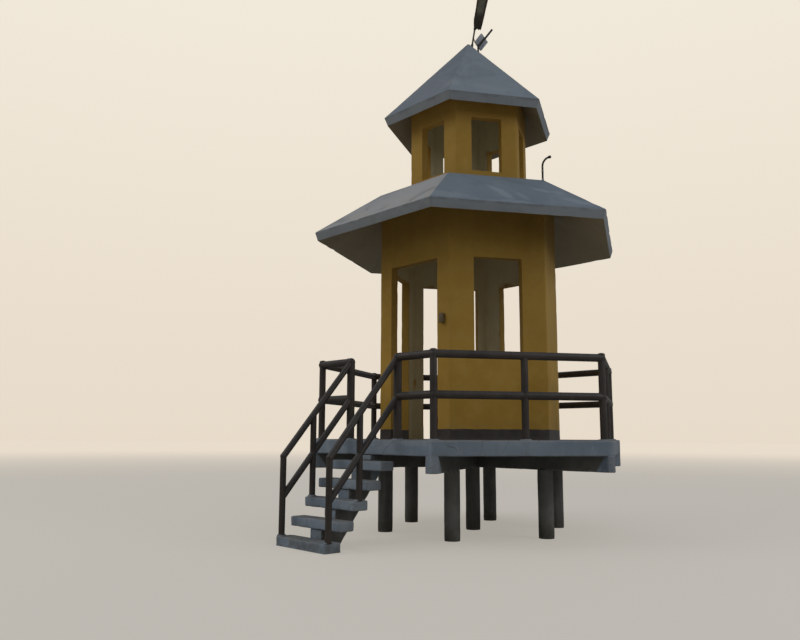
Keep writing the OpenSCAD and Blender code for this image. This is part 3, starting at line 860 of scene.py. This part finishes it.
def carve(base, cutters):
    """Exact boolean difference of bmeshes; returns a bmesh."""
    me = to_mesh("carve_base", base)
    o = bpy.data.objects.new("carve_base", me)
    SC.collection.objects.link(o)
    tmp = []
    for i, c in enumerate(cutters):
        cm = to_mesh("carve_tool", c)
        co = bpy.data.objects.new("carve_tool", cm)
        SC.collection.objects.link(co)
        md = o.modifiers.new("b%d" % i, "BOOLEAN")
        md.operation, md.solver, md.object = "DIFFERENCE", "EXACT", co
        tmp.append(co)
    dg = bpy.context.evaluated_depsgraph_get()
    res = bpy.data.meshes.new_from_object(o.evaluated_get(dg))
    bm = bmesh.new()
    bm.from_mesh(res)
    for x in tmp + [o]:
        m = x.data
        bpy.data.objects.remove(x)
        bpy.data.meshes.remove(m)
    bpy.data.meshes.remove(res)
    bmesh.ops.remove_doubles(bm, verts=bm.verts[:], dist=1e-5)
    bmesh.ops.dissolve_limit(bm, angle_limit=RAD(0.6), verts=bm.verts[:], edges=bm.edges[:])
    return bm


def face_box(angle, apothem, w, z0, z1, depth=0.5):
    return box_bm((apothem - depth, -w / 2, z0), (apothem + depth, w / 2, z1), angle)


def piece(shell, planes):
    """The part of a closed shell behind all the planes, each given as (point, normal)."""
    bm = shell.copy()
    for co, no in planes:
        cut(bm, Vector(co), Vector(no).normalized(), keep="in")
    return bm


# ---------------------------------------------------------------- room walls
def room():
    z0, z1 = DECK - 0.004, DECK + FLAT_Z - FLAT_T - 0.0
    ap = ROOM_R * C30
    shell = hex_prism(ROOM_R, z0, z1)
    tools = [hex_prism(ROOM_R - WALL_T / C30, z0 - 1, z1 + 1)]
    doors = {270: (DOOR_W, -1), 330: (WIN_W, SILL), 90: (WIN_W, SILL), 150: (DOOR_W, -1), 210: (SIDE_W, KERB)}
    for a, (w, s) in doors.items():
        tools.append(face_box(a, ap, w, DECK + s, DECK + HEAD, 0.35))
    bm = carve(shell, tools)
    segs = bevel(bm, 0.009, lambda e: all(v.co.z > z0 + 0.001 for v in e.verts) and all(v.co.z < z1 - 0.001 for v in e.verts)
                 or abs(e.verts[0].co.z - e.verts[1].co.z) > 0.05, 2)
    for zz in np.arange(DECK + 0.07, z1 - 0.03, 0.085):
        cut(bm, Vector((0, 0, zz)), Vector((0, 0, 1)))
    for i in range(60):
        a = RAD(i * 3.0 + 1.1)
        cut(bm, Vector((0, 0, 0)), Vector((-math.sin(a), math.cos(a), 0)))
    wobble(bm, segs, 0.0026, 1.7, 0.006, 9.0, seed=3.1,
           guard=lambda c: 0.0 if c.z < z0 + 0.01 or c.z > z1 - 0.01 else 1.0)
    hz, g = DECK + HEAD - 0.005, 0.005

    def tang(a):
        return Vector((-math.sin(RAD(a)), math.cos(RAD(a)), 0))

    def at(a, t):
        return tang(a) * t

    half = {270: 0.0, 330: WIN_W / 2 - g, 30: WIN_W / 2 - g, 90: WIN_W / 2 - g, 150: 0.0, 210: SIDE_W / 2 - g}
    below = ((0, 0, hz), (0, 0, 1))
    cols = {"column_front_right": 300, "column_right": 0, "column_rear_right": 60,
            "column_rear_left": 120, "column_left": 180, "column_front_left": 240}
    for name, a in cols.items():
        before, after = (a - 30) % 360, (a + 30) % 360
        # keep what lies past +half on the face before, and before -half on the face after
        pl = [below, (at(before, half[before]), -tang(before)), (at(after, -half[after]), tang(after))]
        link(name + "_wall", to_mesh(name, piece(bm, pl)), WALL, (name,))
    sills = {"sill_wall_right_front": 330, "wall_right_rear": 30, "sill_wall_rear": 90, "kerb_left_front": 210}
    for name, a in sills.items():
        n = Vector((math.cos(RAD(a)), math.sin(RAD(a)), 0))
        pl = [below, (at(a, half[a]), tang(a)), (at(a, -half[a]), -tang(a)), (n * 0.5, -n)]
        link(name + "_wall", to_mesh(name, piece(bm, pl)), WALL, (name,))
    link("ring_beam_wall", to_mesh("ring_beam", piece(bm, [((0, 0, hz), (0, 0, -1))])), WALL,
         ("ring_beam",))
    bm.free()


# ---------------------------------------------------------------- lantern
def lantern():
    z0, z1 = DECK + FLAT_Z - 0.004, DECK + 5.2
    ap = LAN_R * C30
    shell = hex_prism(LAN_R, z0, z1)
    tools = [hex_prism(LAN_R - WALL_T / C30, z0 - 1, z1 + 1)]
    for a in range(30, 390, 60):
        tools.append(face_box(a, ap, LAN_W, DECK + LAN_SILL, DECK + LAN_HEAD, 0.35))
    bm = carve(shell, tools)
    # top cut to the slopes inside the upper roof
    apex = Vector((0, 0, DECK + CAP_Z - CAP_FACE + CAP_LOW_R * SLOPE2))
    for a in range(30, 390, 60):
        n = Vector((math.cos(RAD(a)) * SLOPE2 / C30, math.sin(RAD(a)) * SLOPE2 / C30, 1)).normalized()
        cut(bm, apex, n, keep="in")
    segs = bevel(bm, 0.008, lambda e: max(v.co.z for v in e.verts) < DECK + 4.45 and min(v.co.z for v in e.verts) > z0 + 0.001
                 or abs(e.verts[0].co.z - e.verts[1].co.z) > 0.6, 2)
    for zz in np.arange(DECK + FLAT_Z + 0.05, DECK + 4.95, 0.075):
        cut(bm, Vector((0, 0, zz)), Vector((0, 0, 1)))
    for i in range(45):
        a = RAD(i * 4.0 + 1.3)
        cut(bm, Vector((0, 0, 0)), Vector((-math.sin(a), math.cos(a), 0)))
    wobble(bm, segs, 0.0024, 2.0, 0.005, 9.0, seed=7.7,
           guard=lambda c: 0.0 if c.z < z0 + 0.01 or c.z > DECK + 4.70 else 1.0)
    zs, zh = DECK + LAN_SILL + 0.005, DECK + LAN_HEAD - 0.005
    link("lantern_sill_wall", to_mesh("ls", piece(bm, [((0, 0, zs), (0, 0, 1))])), WALL, ("lantern_sill",))
    link("lantern_columns_wall", to_mesh("lc", piece(bm, [((0, 0, zh), (0, 0, 1)), ((0, 0, zs), (0, 0, -1))])), WALL,
         ("lantern_columns",))
    link("lantern_beam_wall", to_mesh("lb", piece(bm, [((0, 0, zh), (0, 0, -1))])), WALL, ("lantern_beam",))
    bm.free()


# ---------------------------------------------------------------- roofs, deck, stair, piers
def hexd(c):
    return max(abs(c.x * math.cos(RAD(a)) + c.y * math.sin(RAD(a))) for a in (30, 90, 150))


def big_pieces():
    lim = (ROOM_R + 0.004) * C30
    solid_of("lower_roof", "lower_roof_cast", ROOF, 0.024,
             ok=lambda e: all(hexd(v.co) > lim for v in e.verts), z=0.062, radial=2.5, fam=None,
             amp=0.0045, scale=1.5, chip=0.010, seed=1.3, guard=lambda c: 0.0 if hexd(c) < lim else 1.0, segs=3, merge=0.00012)
    solid_of("upper_roof", "upper_roof_cast", ROOF, 0.020, ok=None, z=0.06, radial=3.0,
             amp=0.0035, scale=1.9, chip=0.008, seed=5.9,
             guard=lambda c: 0.3 if c.z > DECK + CAP_TOP - 0.15 else 1.0, segs=3)
    solid_of("roof_slab", "roof_slab_cast", ROOF, 0.001, ok=lambda e: False, fam=0.14,
             amp=0.0012, scale=2.2, chip=0, seed=2.2, guard=lambda c: 1.0 if hexd(c) < ROOM_R * C30 - 0.02 else 0.0)
    solid_of("deck_slab", "deck_slab_cast", DECKM, 0.016, z=0.05, fam=0.125,
             amp=0.003, scale=1.7, chip=0.010, seed=4.4,
             guard=lambda c: 0.25 if (c.z > DECK - 0.002 and hexd(c) < 1.8) else 1.0)

    def into_slab(b):
        # the beams run up into the slab, so that no groove shows where their ends meet its rounded edge
        for v in b.verts:
            if v.co.z > DECK - SLAB_T - 0.001:
                v.co.z += 0.020

    solid_of("deck_beams", "deck_beams_cast", DECKM, 0.012, prep=into_slab,
             ok=lambda e: min(v.co.z for v in e.verts) < DECK - SLAB_T - 0.01, z=0.042, fam=0.10,
             amp=0.003, scale=2.2, chip=0.009, seed=6.1, merge=0.00001)
    for n in ("tread_1", "tread_2", "tread_3", "tread_4"):
        solid_of(n, n + "_cast", DECKM, 0.019, segs=3, z=0.03, fam=0.035, dirs=(0, 90),
                 amp=0.0032, scale=3.2, chip=0.011, seed=float(n[-1]) * 2.7)
    solid_of("stair_pad", "stair_pad_cast", DECKM, 0.017, segs=3, z=0.03, fam=0.035, dirs=(0, 90),
             ok=lambda e: max(v.co.z for v in e.verts) > 0.01, amp=0.0035, scale=3.0, chip=0.012, seed=8.8,
             guard=lambda c: 0.0 if c.z < 0.004 else 1.0)
    solid_of("stair_spine", "stair_spine_cast", DECKM, 0.010, z=0.05, fam=0.05, dirs=(0, 90),
             ok=lambda e: max(v.co.z for v in e.verts) > 0.01, amp=0.003, scale=3.0, chip=0.008, seed=9.9,
             guard=lambda c: 0.0 if c.z < 0.004 else 1.0)


def piers():
    for i, n in enumerate(("pier_centre", "pier_front_right", "pier_right", "pier_rear_right",
                           "pier_rear_left", "pier_left", "pier_front_left")):
        lo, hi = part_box(n)
        c, r = (lo + hi) / 2, (hi.x - lo.x) / 2
        bm = bmesh.new()
        rings, seg = [], 56
        zs = [0.0] + [0.012] + list(np.arange(0.04, hi.z - 0.01, 0.03)) + [hi.z + 0.004]
        for z in zs:
            ring = []
            for s in range(seg):
                a = 2 * math.pi * s / seg
                p = Vector((math.cos(a), math.sin(a), z * 2.2))
                d = 0.0022 * (noise.noise(p * 1.6 + Vector((i * 3.3, 0, 0))) - 1.0)
                d += 0.0012 * (noise.noise(p * 7 + Vector((0, i * 2.1, 0))) - 1.0)
                # a shallow ridge left by the form's joint
                d += 0.0022 * math.exp(-((((a - 0.9 - i) % (2 * math.pi)) - math.pi) / 0.03) ** 2)
                if z < 0.02:
                    d -= 0.002
                rr = r + min(d, -0.0002)
                ring.append(bm.verts.new((c.x + rr * math.cos(a), c.y + rr * math.sin(a), z)))
            rings.append(ring)
        for a, b in zip(rings, rings[1:]):
            for s in range(seg):
                t = (s + 1) % seg
                bm.faces.new((a[s], a[t], b[t], b[s]))
        bm.faces.new(list(reversed(rings[0])))
        bm.faces.new(rings[-1])
        link(n + "_cast", to_mesh(n, bm), PIER, (n,), smooth=40)


# ---------------------------------------------------------------- tubes, rings and small parts
def sweep(bm, path, radius, seg=14, closed=False, cap=True, wob=0.0, seed=0.0):
    """A tube along a path; radius is a number or one per point."""
    pts = [Vector(p) for p in path]
    n = len(pts)
    rad = radius if isinstance(radius, (list, tuple)) else [radius] * n
    rings, prev = [], None
    for i, p in enumerate(pts):
        if closed:
            t = (pts[(i + 1) % n] - pts[i - 1]).normalized()
        else:
            t = (pts[min(i + 1, n - 1)] - pts[max(i - 1, 0)]).normalized()
        if prev is None:
            ref = Vector((0, 0, 1)) if abs(t.z) < 0.9 else Vector((1, 0, 0))
            u = t.cross(ref).normalized()
        else:
            u = (prev - t * prev.dot(t)).normalized()
        prev = u
        v = t.cross(u)
        ring = []
        for s in range(seg):
            a = 2 * math.pi * s / seg
            r = rad[i]
            if wob:
                r *= 1 + wob * noise.noise(Vector((p.x * 60 + seed, p.y * 60 + s * 0.7, p.z * 60)))
            ring.append(bm.verts.new(p + u * (r * math.cos(a)) + v * (r * math.sin(a))))
        rings.append(ring)
    pairs = list(zip(rings, rings[1:])) + ([(rings[-1], rings[0])] if closed else [])
    for a, b in pairs:
        for s in range(seg):
            t = (s + 1) % seg
            bm.faces.new((a[s], a[t], b[t], b[s]))
    if cap and not closed:
        bm.faces.new(list(reversed(rings[0])))
        bm.faces.new(rings[-1])
    return rings


def lathe(bm, profile, centre, axis=(0, 0, 1), seg=28):
    """Turns (radius, height) points round an axis through centre."""
    q = Vector((0, 0, 1)).rotation_difference(Vector(axis).normalized())
    c = Vector(centre)
    rings = []
    for r, h in profile:
        if r < 1e-6:
            rings.append([bm.verts.new(c + q @ Vector((0, 0, h)))])
        else:
            rings.append([bm.verts.new(c + q @ Vector((r * math.cos(2 * math.pi * s / seg), r * math.sin(2 * math.pi * s / seg), h)))
                          for s in range(seg)])
    for a, b in zip(rings, rings[1:]):
        for s in range(seg):
            t = (s + 1) % seg
            if len(a) == 1 and len(b) == 1:
                continue
            if len(a) == 1:
                bm.faces.new((a[0], b[t], b[s]))
            elif len(b) == 1:
                bm.faces.new((a[s], a[t], b[0]))
            else:
                bm.faces.new((a[s], a[t], b[t], b[s]))


def post_places():
    """(x, y, foot z, direction of the rail in plan or None, diameter) of every post."""
    out = []
    for a in (0, 60, 120, 180, 240, 300):
        out.append((POST_R * math.cos(RAD(a)), POST_R * math.sin(RAD(a)), DECK, None, POST_D))
    for a in (30, 90, 150, 210, 330):
        ap, t = POST_R * C30, MID_SHIFT if a == 330 else 0.0
        out.append((ap * math.cos(RAD(a)) - t * math.sin(RAD(a)), ap * math.sin(RAD(a)) + t * math.cos(RAD(a)), DECK, a + 90, POST_D))
    for s in (-1, 1):
        out.append((s * STAIR_X, -POST_R * C30, DECK, 0, HEAD_POST_D))
    return out


def weld_ring(bm, x, y, z_rail, side, rail_dir, seed):
    """A bead of weld where a post meets a level rail, above (1) or below (-1) it."""
    rp, rr = POST_D / 2 + 0.001, RAIL_D / 2
    d = RAD(rail_dir)
    pts = []
    for s in range(44):
        a = 2 * math.pi * s / 44
        u, w = rp * math.cos(a), rp * math.sin(a)
        h = math.sqrt(rr * rr - w * w)
        pts.append((x + u * math.cos(d) - w * math.sin(d), y + u * math.sin(d) + w * math.cos(d), z_rail + side * (h + 0.001)))
    sweep(bm, pts, 0.0045, 7, closed=True, wob=0.35, seed=seed)


def rail_details():
    bm = bmesh.new()
    k = 0
    for x, y, z, d, dia in post_places():
        k += 1
        if d is None:
            a = math.atan2(y, x)
            for zz, sides in ((DECK + MID_H, (1, -1)), (DECK + RAIL_H, (-1,))):
                for side in sides:
                    # the corner post meets two mitred rails: the bead follows both of them round it
                    pts = []
                    for s in range(48):
                        t = 2 * math.pi * s / 48
                        rp = POST_D / 2 + 0.001
                        w = rp * math.sin((t if t <= math.pi else 2 * math.pi - t) - RAD(120))
                        h = math.sqrt(RAIL_D * RAIL_D / 4 - w * w) + 0.001
                        pts.append((x + rp * math.cos(a + t), y + rp * math.sin(a + t), zz + side * h))
                    sweep(bm, pts, 0.0045, 7, closed=True, wob=0.35, seed=k * 1.7 + zz)
        elif dia == HEAD_POST_D:
            # the level rails run out from the thick posts at the head of the stair
            for zz in (DECK + MID_H, DECK + RAIL_H):
                pts = []
                for s in range(48):
                    t = 2 * math.pi * s / 48
                    rr = RAIL_D / 2
                    off = max(math.sqrt(dia * dia / 4 - (rr * math.sin(t)) ** 2), math.sqrt((dia / 2 + 0.002) ** 2 - rr * rr)) + 0.001
                    pts.append((x + math.copysign(off, x), y + (rr + 0.001) * math.sin(t), zz + (rr + 0.001) * math.cos(t)))
                sweep(bm, pts, 0.0045, 7, closed=True, wob=0.35, seed=k * 2.9 + zz)
        else:
            for zz, sides in ((DECK + MID_H, (1, -1)), (DECK + RAIL_H, (-1,))):
                for side in sides:
                    weld_ring(bm, x, y, zz, side, d, k * 2.3 + zz)
    link("rail_weld_beads", to_mesh("welds", bm), RAIL, smooth=60)
    # domed caps that close the corner posts, just above the top rail
    bm = bmesh.new()
    for a in (0, 60, 120, 180, 240, 300):
        lathe(bm, [(0.0, 0.015), (0.0445, 0.015), (0.0445, 0.042), (0.0412, 0.0500), (0.0322, 0.0560), (0.0180, 0.0596), (0.0, 0.0604)],
              Vector((POST_R * math.cos(RAD(a)), POST_R * math.sin(RAD(a)), DECK + RAIL_H)), seg=32)
    link("rail_corner_caps", to_mesh("caps", bm), RAIL, smooth=50)
    # mortar round the feet of the posts
    bm = bmesh.new()
    feet = [(x, y, z, dia / 2) for x, y, z, _, dia in post_places()]
    rail_y1 = tread_front(0) + 0.062
    mid_y = tread_front(2) + 0.095
    for s in (-1, 1):
        feet += [(s * STAIR_X, rail_y1, PAD_H, STAIR_POST_D / 2), (s * STAIR_X, mid_y, tread_top(2), STAIR_POST_D / 2)]
    for i, (x, y, z, rp) in enumerate(feet):
        seg, rings = 36, []
        small = z < DECK - 0.1
        r_out = 0.024 if small else 0.050
        for j, (r, h) in enumerate(((rp - 0.004, 0.016), (rp + 0.004, 0.0155), (rp + 0.008, 0.011),
                                    (rp + 0.010, 0.004), (rp + 0.011, -0.004))):
            ring = []
            for s in range(seg):
                a = 2 * math.pi * s / seg
                w = 1 + 0.9 * noise.noise(Vector((math.cos(a) * 1.6 + i * 5, math.sin(a) * 1.6, j * 0.2)))
                rr = r + max(0.0, (r - rp)) * (r_out / 0.030) * w
                px, py = x + rr * math.cos(a), y + rr * math.sin(a)
                if small:
                    px = max(-0.4635, min(0.4635, px))
                hh = h * (0.8 + 0.35 * noise.noise(Vector((math.cos(a) * 2 + i, math.sin(a) * 2, 3))))
                ring.append(bm.verts.new((px, py, z + (hh if h > 0 else h))))
            rings.append(ring)
        for a_, b_ in zip(rings, rings[1:] + rings[:1]):
            for s in range(seg):
                t = (s + 1) % seg
                bm.faces.new((a_[s], b_[s], b_[t], a_[t]))
    link("post_foot_mortar", to_mesh("mortar", bm), DECKM, smooth=50)


def conduit():
    base = Vector((1.291, 0, DECK + FLAT_Z))
    d = Vector((1, 0, 0))
    r = 0.0130
    path = [base + Vector((0, 0, z)) for z in np.linspace(-0.002, 0.190, 10)]
    for i in range(1, 21):
        a = math.pi / 2 * i / 20
        path.append(base + d * (0.100 * (1 - math.cos(a))) + Vector((0, 0, 0.190 + 0.100 * math.sin(a))))
    path.append(base + d * 0.113 + Vector((0, 0, 0.290)))
    bm = bmesh.new()
    sweep(bm, path, r, 20)
    link("roof_conduit_pipe", to_mesh("conduit", bm), DARKM, ("roof_conduit",), smooth=40)
    bm = bmesh.new()
    end = base + d * 0.099 + Vector((0, 0, 0.290))
    lathe(bm, [(0.0, 0.0), (0.0136, 0.0), (0.0160, 0.0015), (0.0160, 0.0070), (0.0150, 0.0085), (0.0150, 0.0105), (0.0192, 0.0130), (0.0194, 0.0300),
               (0.0178, 0.0330), (0.0130, 0.0335), (0.0120, 0.0250), (0.0, 0.0240)], end, axis=d, seg=32)
    link("roof_conduit_end", to_mesh("conduit_end", bm), DARKM, smooth=35)
    bm = bmesh.new()
    lathe(bm, [(0.0, -0.001), (0.0195, -0.001), (0.0195, 0.004), (0.0180, 0.006), (0.0165, 0.007), (0.0165, 0.016), (0.0150, 0.018), (0.0, 0.018)],
          base + Vector((-0.0005, 0, 0.0005)), seg=6)
    lathe(bm, [(0.0, 0.0), (0.0139, 0.0), (0.0158, 0.001), (0.0158, 0.011), (0.0139, 0.012), (0.0, 0.012)], base + Vector((0, 0, 0.118)), seg=24)
    link("roof_conduit_gland", to_mesh("gland", bm), GALV, smooth=35)


def rounded_box(bm, lo, hi, w, segs=3):
    b = box_bm(lo, hi)
    bmesh.ops.bevel(b, geom=b.edges[:], offset=w, offset_type="OFFSET", segments=segs, profile=0.5, affect="EDGES")
    me = to_mesh("tmp", b)
    bm.from_mesh(me)
    bpy.data.meshes.remove(me)


def switch_box():
    x0, x1 = 0.508, 0.570
    y1 = -ROOM_R * C30
    y0 = y1 - 0.050
    z0, z1 = DECK + 1.45, DECK + 1.57
    bm = bmesh.new()
    rounded_box(bm, (x0 + 0.001, y0 + 0.012, z0 + 0.001), (x1 - 0.001, y1 + 0.003, z1 - 0.001), 0.005)
    rounded_box(bm, (x0, y0 + 0.003, z0), (x1, y0 + 0.0135, z1), 0.003)
    cx = (x0 + x1) / 2
    for dx, dz in ((-0.024, 0.052), (0.024, 0.052), (-0.024, -0.052), (0.024, -0.052)):
        lathe(bm, [(0.0, 0.0022), (0.0028, 0.0020), (0.0038, 0.0), (0.0038, -0.002), (0.0, -0.002)], (cx + dx, y0 + 0.003, (z0 + z1) / 2 + dz), axis=(0, -1, 0), seg=12)
    link("switch_box_case", to_mesh("switch", bm), BOXM, ("switch_box",), smooth=35)
    bm = bmesh.new()
    rounded_box(bm, (cx - 0.013, y0 + 0.0012, (z0 + z1) / 2 - 0.024), (cx + 0.013, y0 + 0.0045, (z0 + z1) / 2 + 0.024), 0.0014, 2)
    rounded_box(bm, (cx - 0.008, y0 + 0.0002, (z0 + z1) / 2 - 0.013), (cx + 0.008, y0 + 0.0040, (z0 + z1) / 2 + 0.013), 0.0014, 2)
    link("switch_box_rocker", to_mesh("rocker", bm), BOXM, smooth=35)


# Frames at the roof point, as in the part's source
TIPM = Matrix.Translation(TIP) @ Matrix.Rotation(LEAN_AZ, 4, "Z")
POLEM = TIPM @ Matrix.Translation((0.050, 0, -0.070)) @ Matrix.Rotation(RAD(9), 4, "Y")
POLE_L, POLE_D = 1.150, 0.026


def pole():
    bm = bmesh.new()
    zs = np.linspace(0.02, POLE_L, 30)
    path = [POLEM @ Vector((0.0006 * math.sin(z * 7), 0.0008 * math.sin(z * 5 + 1), z)) for z in zs]
    rad = [0.0128 if z < 0.6 else 0.0112 for z in zs]
    sweep(bm, path, rad, 20)
    ax = (POLEM.to_3x3() @ Vector((0, 0, 1)))
    lathe(bm, [(0.0, 0.0), (0.0128, 0.0), (0.0130, 0.001), (0.0130, 0.030), (0.0122, 0.032), (0.0112, 0.033), (0.0, 0.033)], POLEM @ Vector((0, 0, 0.585)), axis=ax, seg=24)
    # ball at the top
    prof = [(0.0, -0.030), (0.0112, -0.030), (0.016, -0.028), (0.017, -0.024)]
    for i in range(0, 13):
        a = -math.pi / 2 + 0.75 + (math.pi - 0.75) * i / 12
        prof.append((max(0.0245 * math.cos(a), 0.0), 0.0245 * math.sin(a)))
    prof[-1] = (0.0, 0.0245)
    lathe(bm, prof, POLEM @ Vector((0, 0, POLE_L - 0.005)), axis=ax, seg=28)
    link("flag_pole_tube", to_mesh("pole", bm), POLEP, ("flag_pole",), smooth=40)
    # socket where the pole enters the roof, and ties that hold the cloth
    bm = bmesh.new()
    lathe(bm, [(0.0, 0.058), (0.0172, 0.058), (0.0185, 0.054), (0.0185, 0.020), (0.0210, 0.005), (0.0235, -0.02), (0.0, -0.02)], POLEM @ Vector((0, 0, 0.0)), axis=ax, seg=28)
    for h in (0.335, 0.960):
        pts = []
        for s in range(30):
            a = 2 * math.pi * s / 30
            pts.append(POLEM @ Vector((0.0148 * math.cos(a), 0.0148 * math.sin(a), h + 0.003 * math.sin(a * 1.0))))
        sweep(bm, pts, 0.0016, 8, closed=True)
    link("flag_pole_socket", to_mesh("socket", bm), DARKM, smooth=40)


def flag():
    # plan of the furled cloth at its top, in metres: x to the right of the pole, y away from the camera
    plan = [(0.060, 0.027), (0.020, 0.030), (-0.012, 0.026), (-0.030, 0.012), (-0.035, -0.008), (-0.028, -0.031), (-0.016, -0.030),
            (-0.010, -0.0185), (0.004, -0.0165), (0.030, -0.0170), (0.060, -0.0150), (0.090, -0.0160), (0.108, -0.0200), (0.118, -0.0325),
            (0.132, -0.0310), (0.140, -0.0120), (0.138, 0.0120), (0.120, 0.0260), (0.095, 0.0180), (0.075, 0.0080)]
    P = np.array(plan)
    seg = np.r_[0, np.cumsum(np.linalg.norm(np.diff(P, axis=0), axis=1))]
    nu, nv = 130, 170
    u = np.linspace(0, seg[-1], nu)
    # smooth the plan through its points
    ux = np.interp(u, seg, P[:, 0])
    uy = np.interp(u, seg, P[:, 1])
    ker = np.array([1, 2, 3, 2, 1]) / 9.0
    for _ in range(2):
        ux[2:-2] = np.convolve(ux, ker, "valid")
        uy[2:-2] = np.convolve(uy, ker, "valid")
    bm = bmesh.new()
    lay = bm.verts.layers.float.new("middle")
    grid = []
    z0, z1 = 0.292, 1.008
    for i in range(nu):
        s = i / (nu - 1)
        # ragged foot: torn tongues of differing length
        n1 = noise.noise(Vector((s * 9.0, 1.7, 0)))
        n2 = noise.noise(Vector((s * 34.0, 5.1, 0)))
        foot = 0.028 + 0.070 * n1 + 0.026 * n2
        foot = max(0.0, foot)
        col = []
        for j in range(nv):
            v = foot + (1 - foot) * (j / (nv - 1))
            z = z0 + (z1 - z0) * v
            # the roll is narrower at its foot
            kx = 0.66 + 0.34 * min(1.0, v ** 0.8)
            kn = 0.45 + 0.55 * min(1.0, v * 4.5)
            x = ux[i] * (kx if ux[i] > 0 else kn)
            y = uy[i] * (0.74 + 0.26 * min(1.0, v * 3))
            close = max(0.0, 1 - v / 0.42)
            # the front opens towards the top and closes in deep folds near the foot
            if -0.012 < ux[i] < 0.116 and uy[i] < 0:
                y -= 0.012 * close * (0.6 + 0.4 * math.sin(ux[i] * 190))
            wig = 0.0030 * (0.5 + close) * noise.noise(Vector((s * 13, v * 5.5, 2.0)))
            wig += 0.0018 * noise.noise(Vector((s * 31, v * 13, 8.0)))
            x += wig + 0.0035 * noise.noise(Vector((v * 6, s * 2.0, 4.0)))
            y += wig * 0.8
            y = max(-0.0335, min(0.0335, y))
            r = math.hypot(x, y)
            if r < 0.0165:
                x, y = x * 0.0165 / max(r, 1e-6), y * 0.0165 / max(r, 1e-6)
            p = bm.verts.new(POLEM @ Vector((x, y, z)))
            mid = 1.0 if (-0.008 < ux[i] < 0.106 and uy[i] < 0) else 0.0
            p[lay] = mid * min(1.0, max(0.0, (v - 0.30) / 0.12))
            col.append(p)
        grid.append(col)
    for i in range(nu - 1):
        for j in range(nv - 1):
            bm.faces.new((grid[i][j], grid[i + 1][j], grid[i + 1][j + 1], grid[i][j + 1]))
    o = link("flag_sheet", to_mesh("flag", bm), FLAG, ("flag",), smooth=0)
    md = o.modifiers.new("thick", "SOLIDIFY")
    md.thickness = 0.0012
    md.offset = 0


def on_tip(bm, verts, m):
    for v in verts:
        v.co = m @ v.co


def floodlight():
    box = TIPM @ Matrix.Translation((0.193, 0.012, 0.030)) @ Matrix.Rotation(RAD(28), 4, "X") @ Matrix.Rotation(RAD(32), 4, "Z")
    box = box @ Matrix.Rotation(RAD(45), 4, "Y")
    # housing: 176 square, 40 deep in its own frame
    bm = bmesh.new()
    rounded_box(bm, (-0.0880, -0.0115, -0.0880), (0.0880, 0.0140, 0.0880), 0.008)
    for i in range(4):
        x = -0.057 + i * 0.038
        rounded_box(bm, (x - 0.0055, -0.0196, -0.064), (x + 0.0055, -0.0080, 0.064), 0.0040, 3)
    rounded_box(bm, (-0.0842, 0.0110, -0.0842), (0.0842, 0.0193, 0.0842), 0.004, 2)
    on_tip(bm, bm.verts, box)
    link("floodlight_housing", to_mesh("lamp", bm), GALV, ("floodlight",), smooth=35)
    bm = bmesh.new()
    rounded_box(bm, (-0.0735, 0.0172, -0.0735), (0.0735, 0.0199, 0.0735), 0.0012, 2)
    on_tip(bm, bm.verts, box)
    link("floodlight_glass", to_mesh("lampglass", bm), GLASS, smooth=35)
    # bar across the back, foot and strut
    bm = bmesh.new()
    a = Vector((-0.005, -0.0340, -0.104))
    sweep(bm, [box @ (a + Vector((0, 0, t))) for t in np.linspace(0.0, 0.348, 18)], 0.0148, 18)
    out = (box.to_3x3() @ Vector((0, -1, 0))).normalized()
    for t in (0.075, 0.155):
        lathe(bm, [(0.0, 0.0055), (0.007, 0.005), (0.008, 0.001), (0.008, -0.010), (0.0, -0.010)],
              box @ (a + Vector((0, -0.0095, t))), axis=out, seg=6)
    link("floodlight_bar", to_mesh("lampbar", bm), DARKM, smooth=35)
    bm = bmesh.new()
    rounded_box(bm, (0.1305, -0.0275, -0.225), (0.1575, -0.0065, -0.035), 0.003, 2)
    on_tip(bm, bm.verts, TIPM)
    # the foot goes a little way into the roof where it lands on the ridge
    n = Vector((math.cos(RAD(30)) * SLOPE2 / C30, math.sin(RAD(30)) * SLOPE2 / C30, 1)).normalized()
    cut(bm, TIP - n * 0.024, -n, keep="in")
    link("floodlight_foot", to_mesh("lampfoot", bm), DARKM, smooth=35)
    bm = bmesh.new()
    pts = []
    p0, p1, p2 = Vector((0.0788, 0.0, 0.112)), Vector((0.0830, -0.002, 0.026)), Vector((0.1370, -0.0150, -0.052))
    for i in range(17):
        t = i / 16
        pts.append(TIPM @ (p0 * (1 - t) ** 2 + p1 * 2 * t * (1 - t) + p2 * t ** 2))
    sweep(bm, pts, 0.0065, 12)
    link("floodlight_strut", to_mesh("strut", bm), POLEP, smooth=50)


for n in N:
    if n.startswith(("rail_", "stair_rail")):
        N[n].data.materials.clear()
        N[n].data.materials.append(RAIL)

room()
lantern()
big_pieces()
piers()
rail_details()
conduit()
switch_box()
pole()
flag()
floodlight()
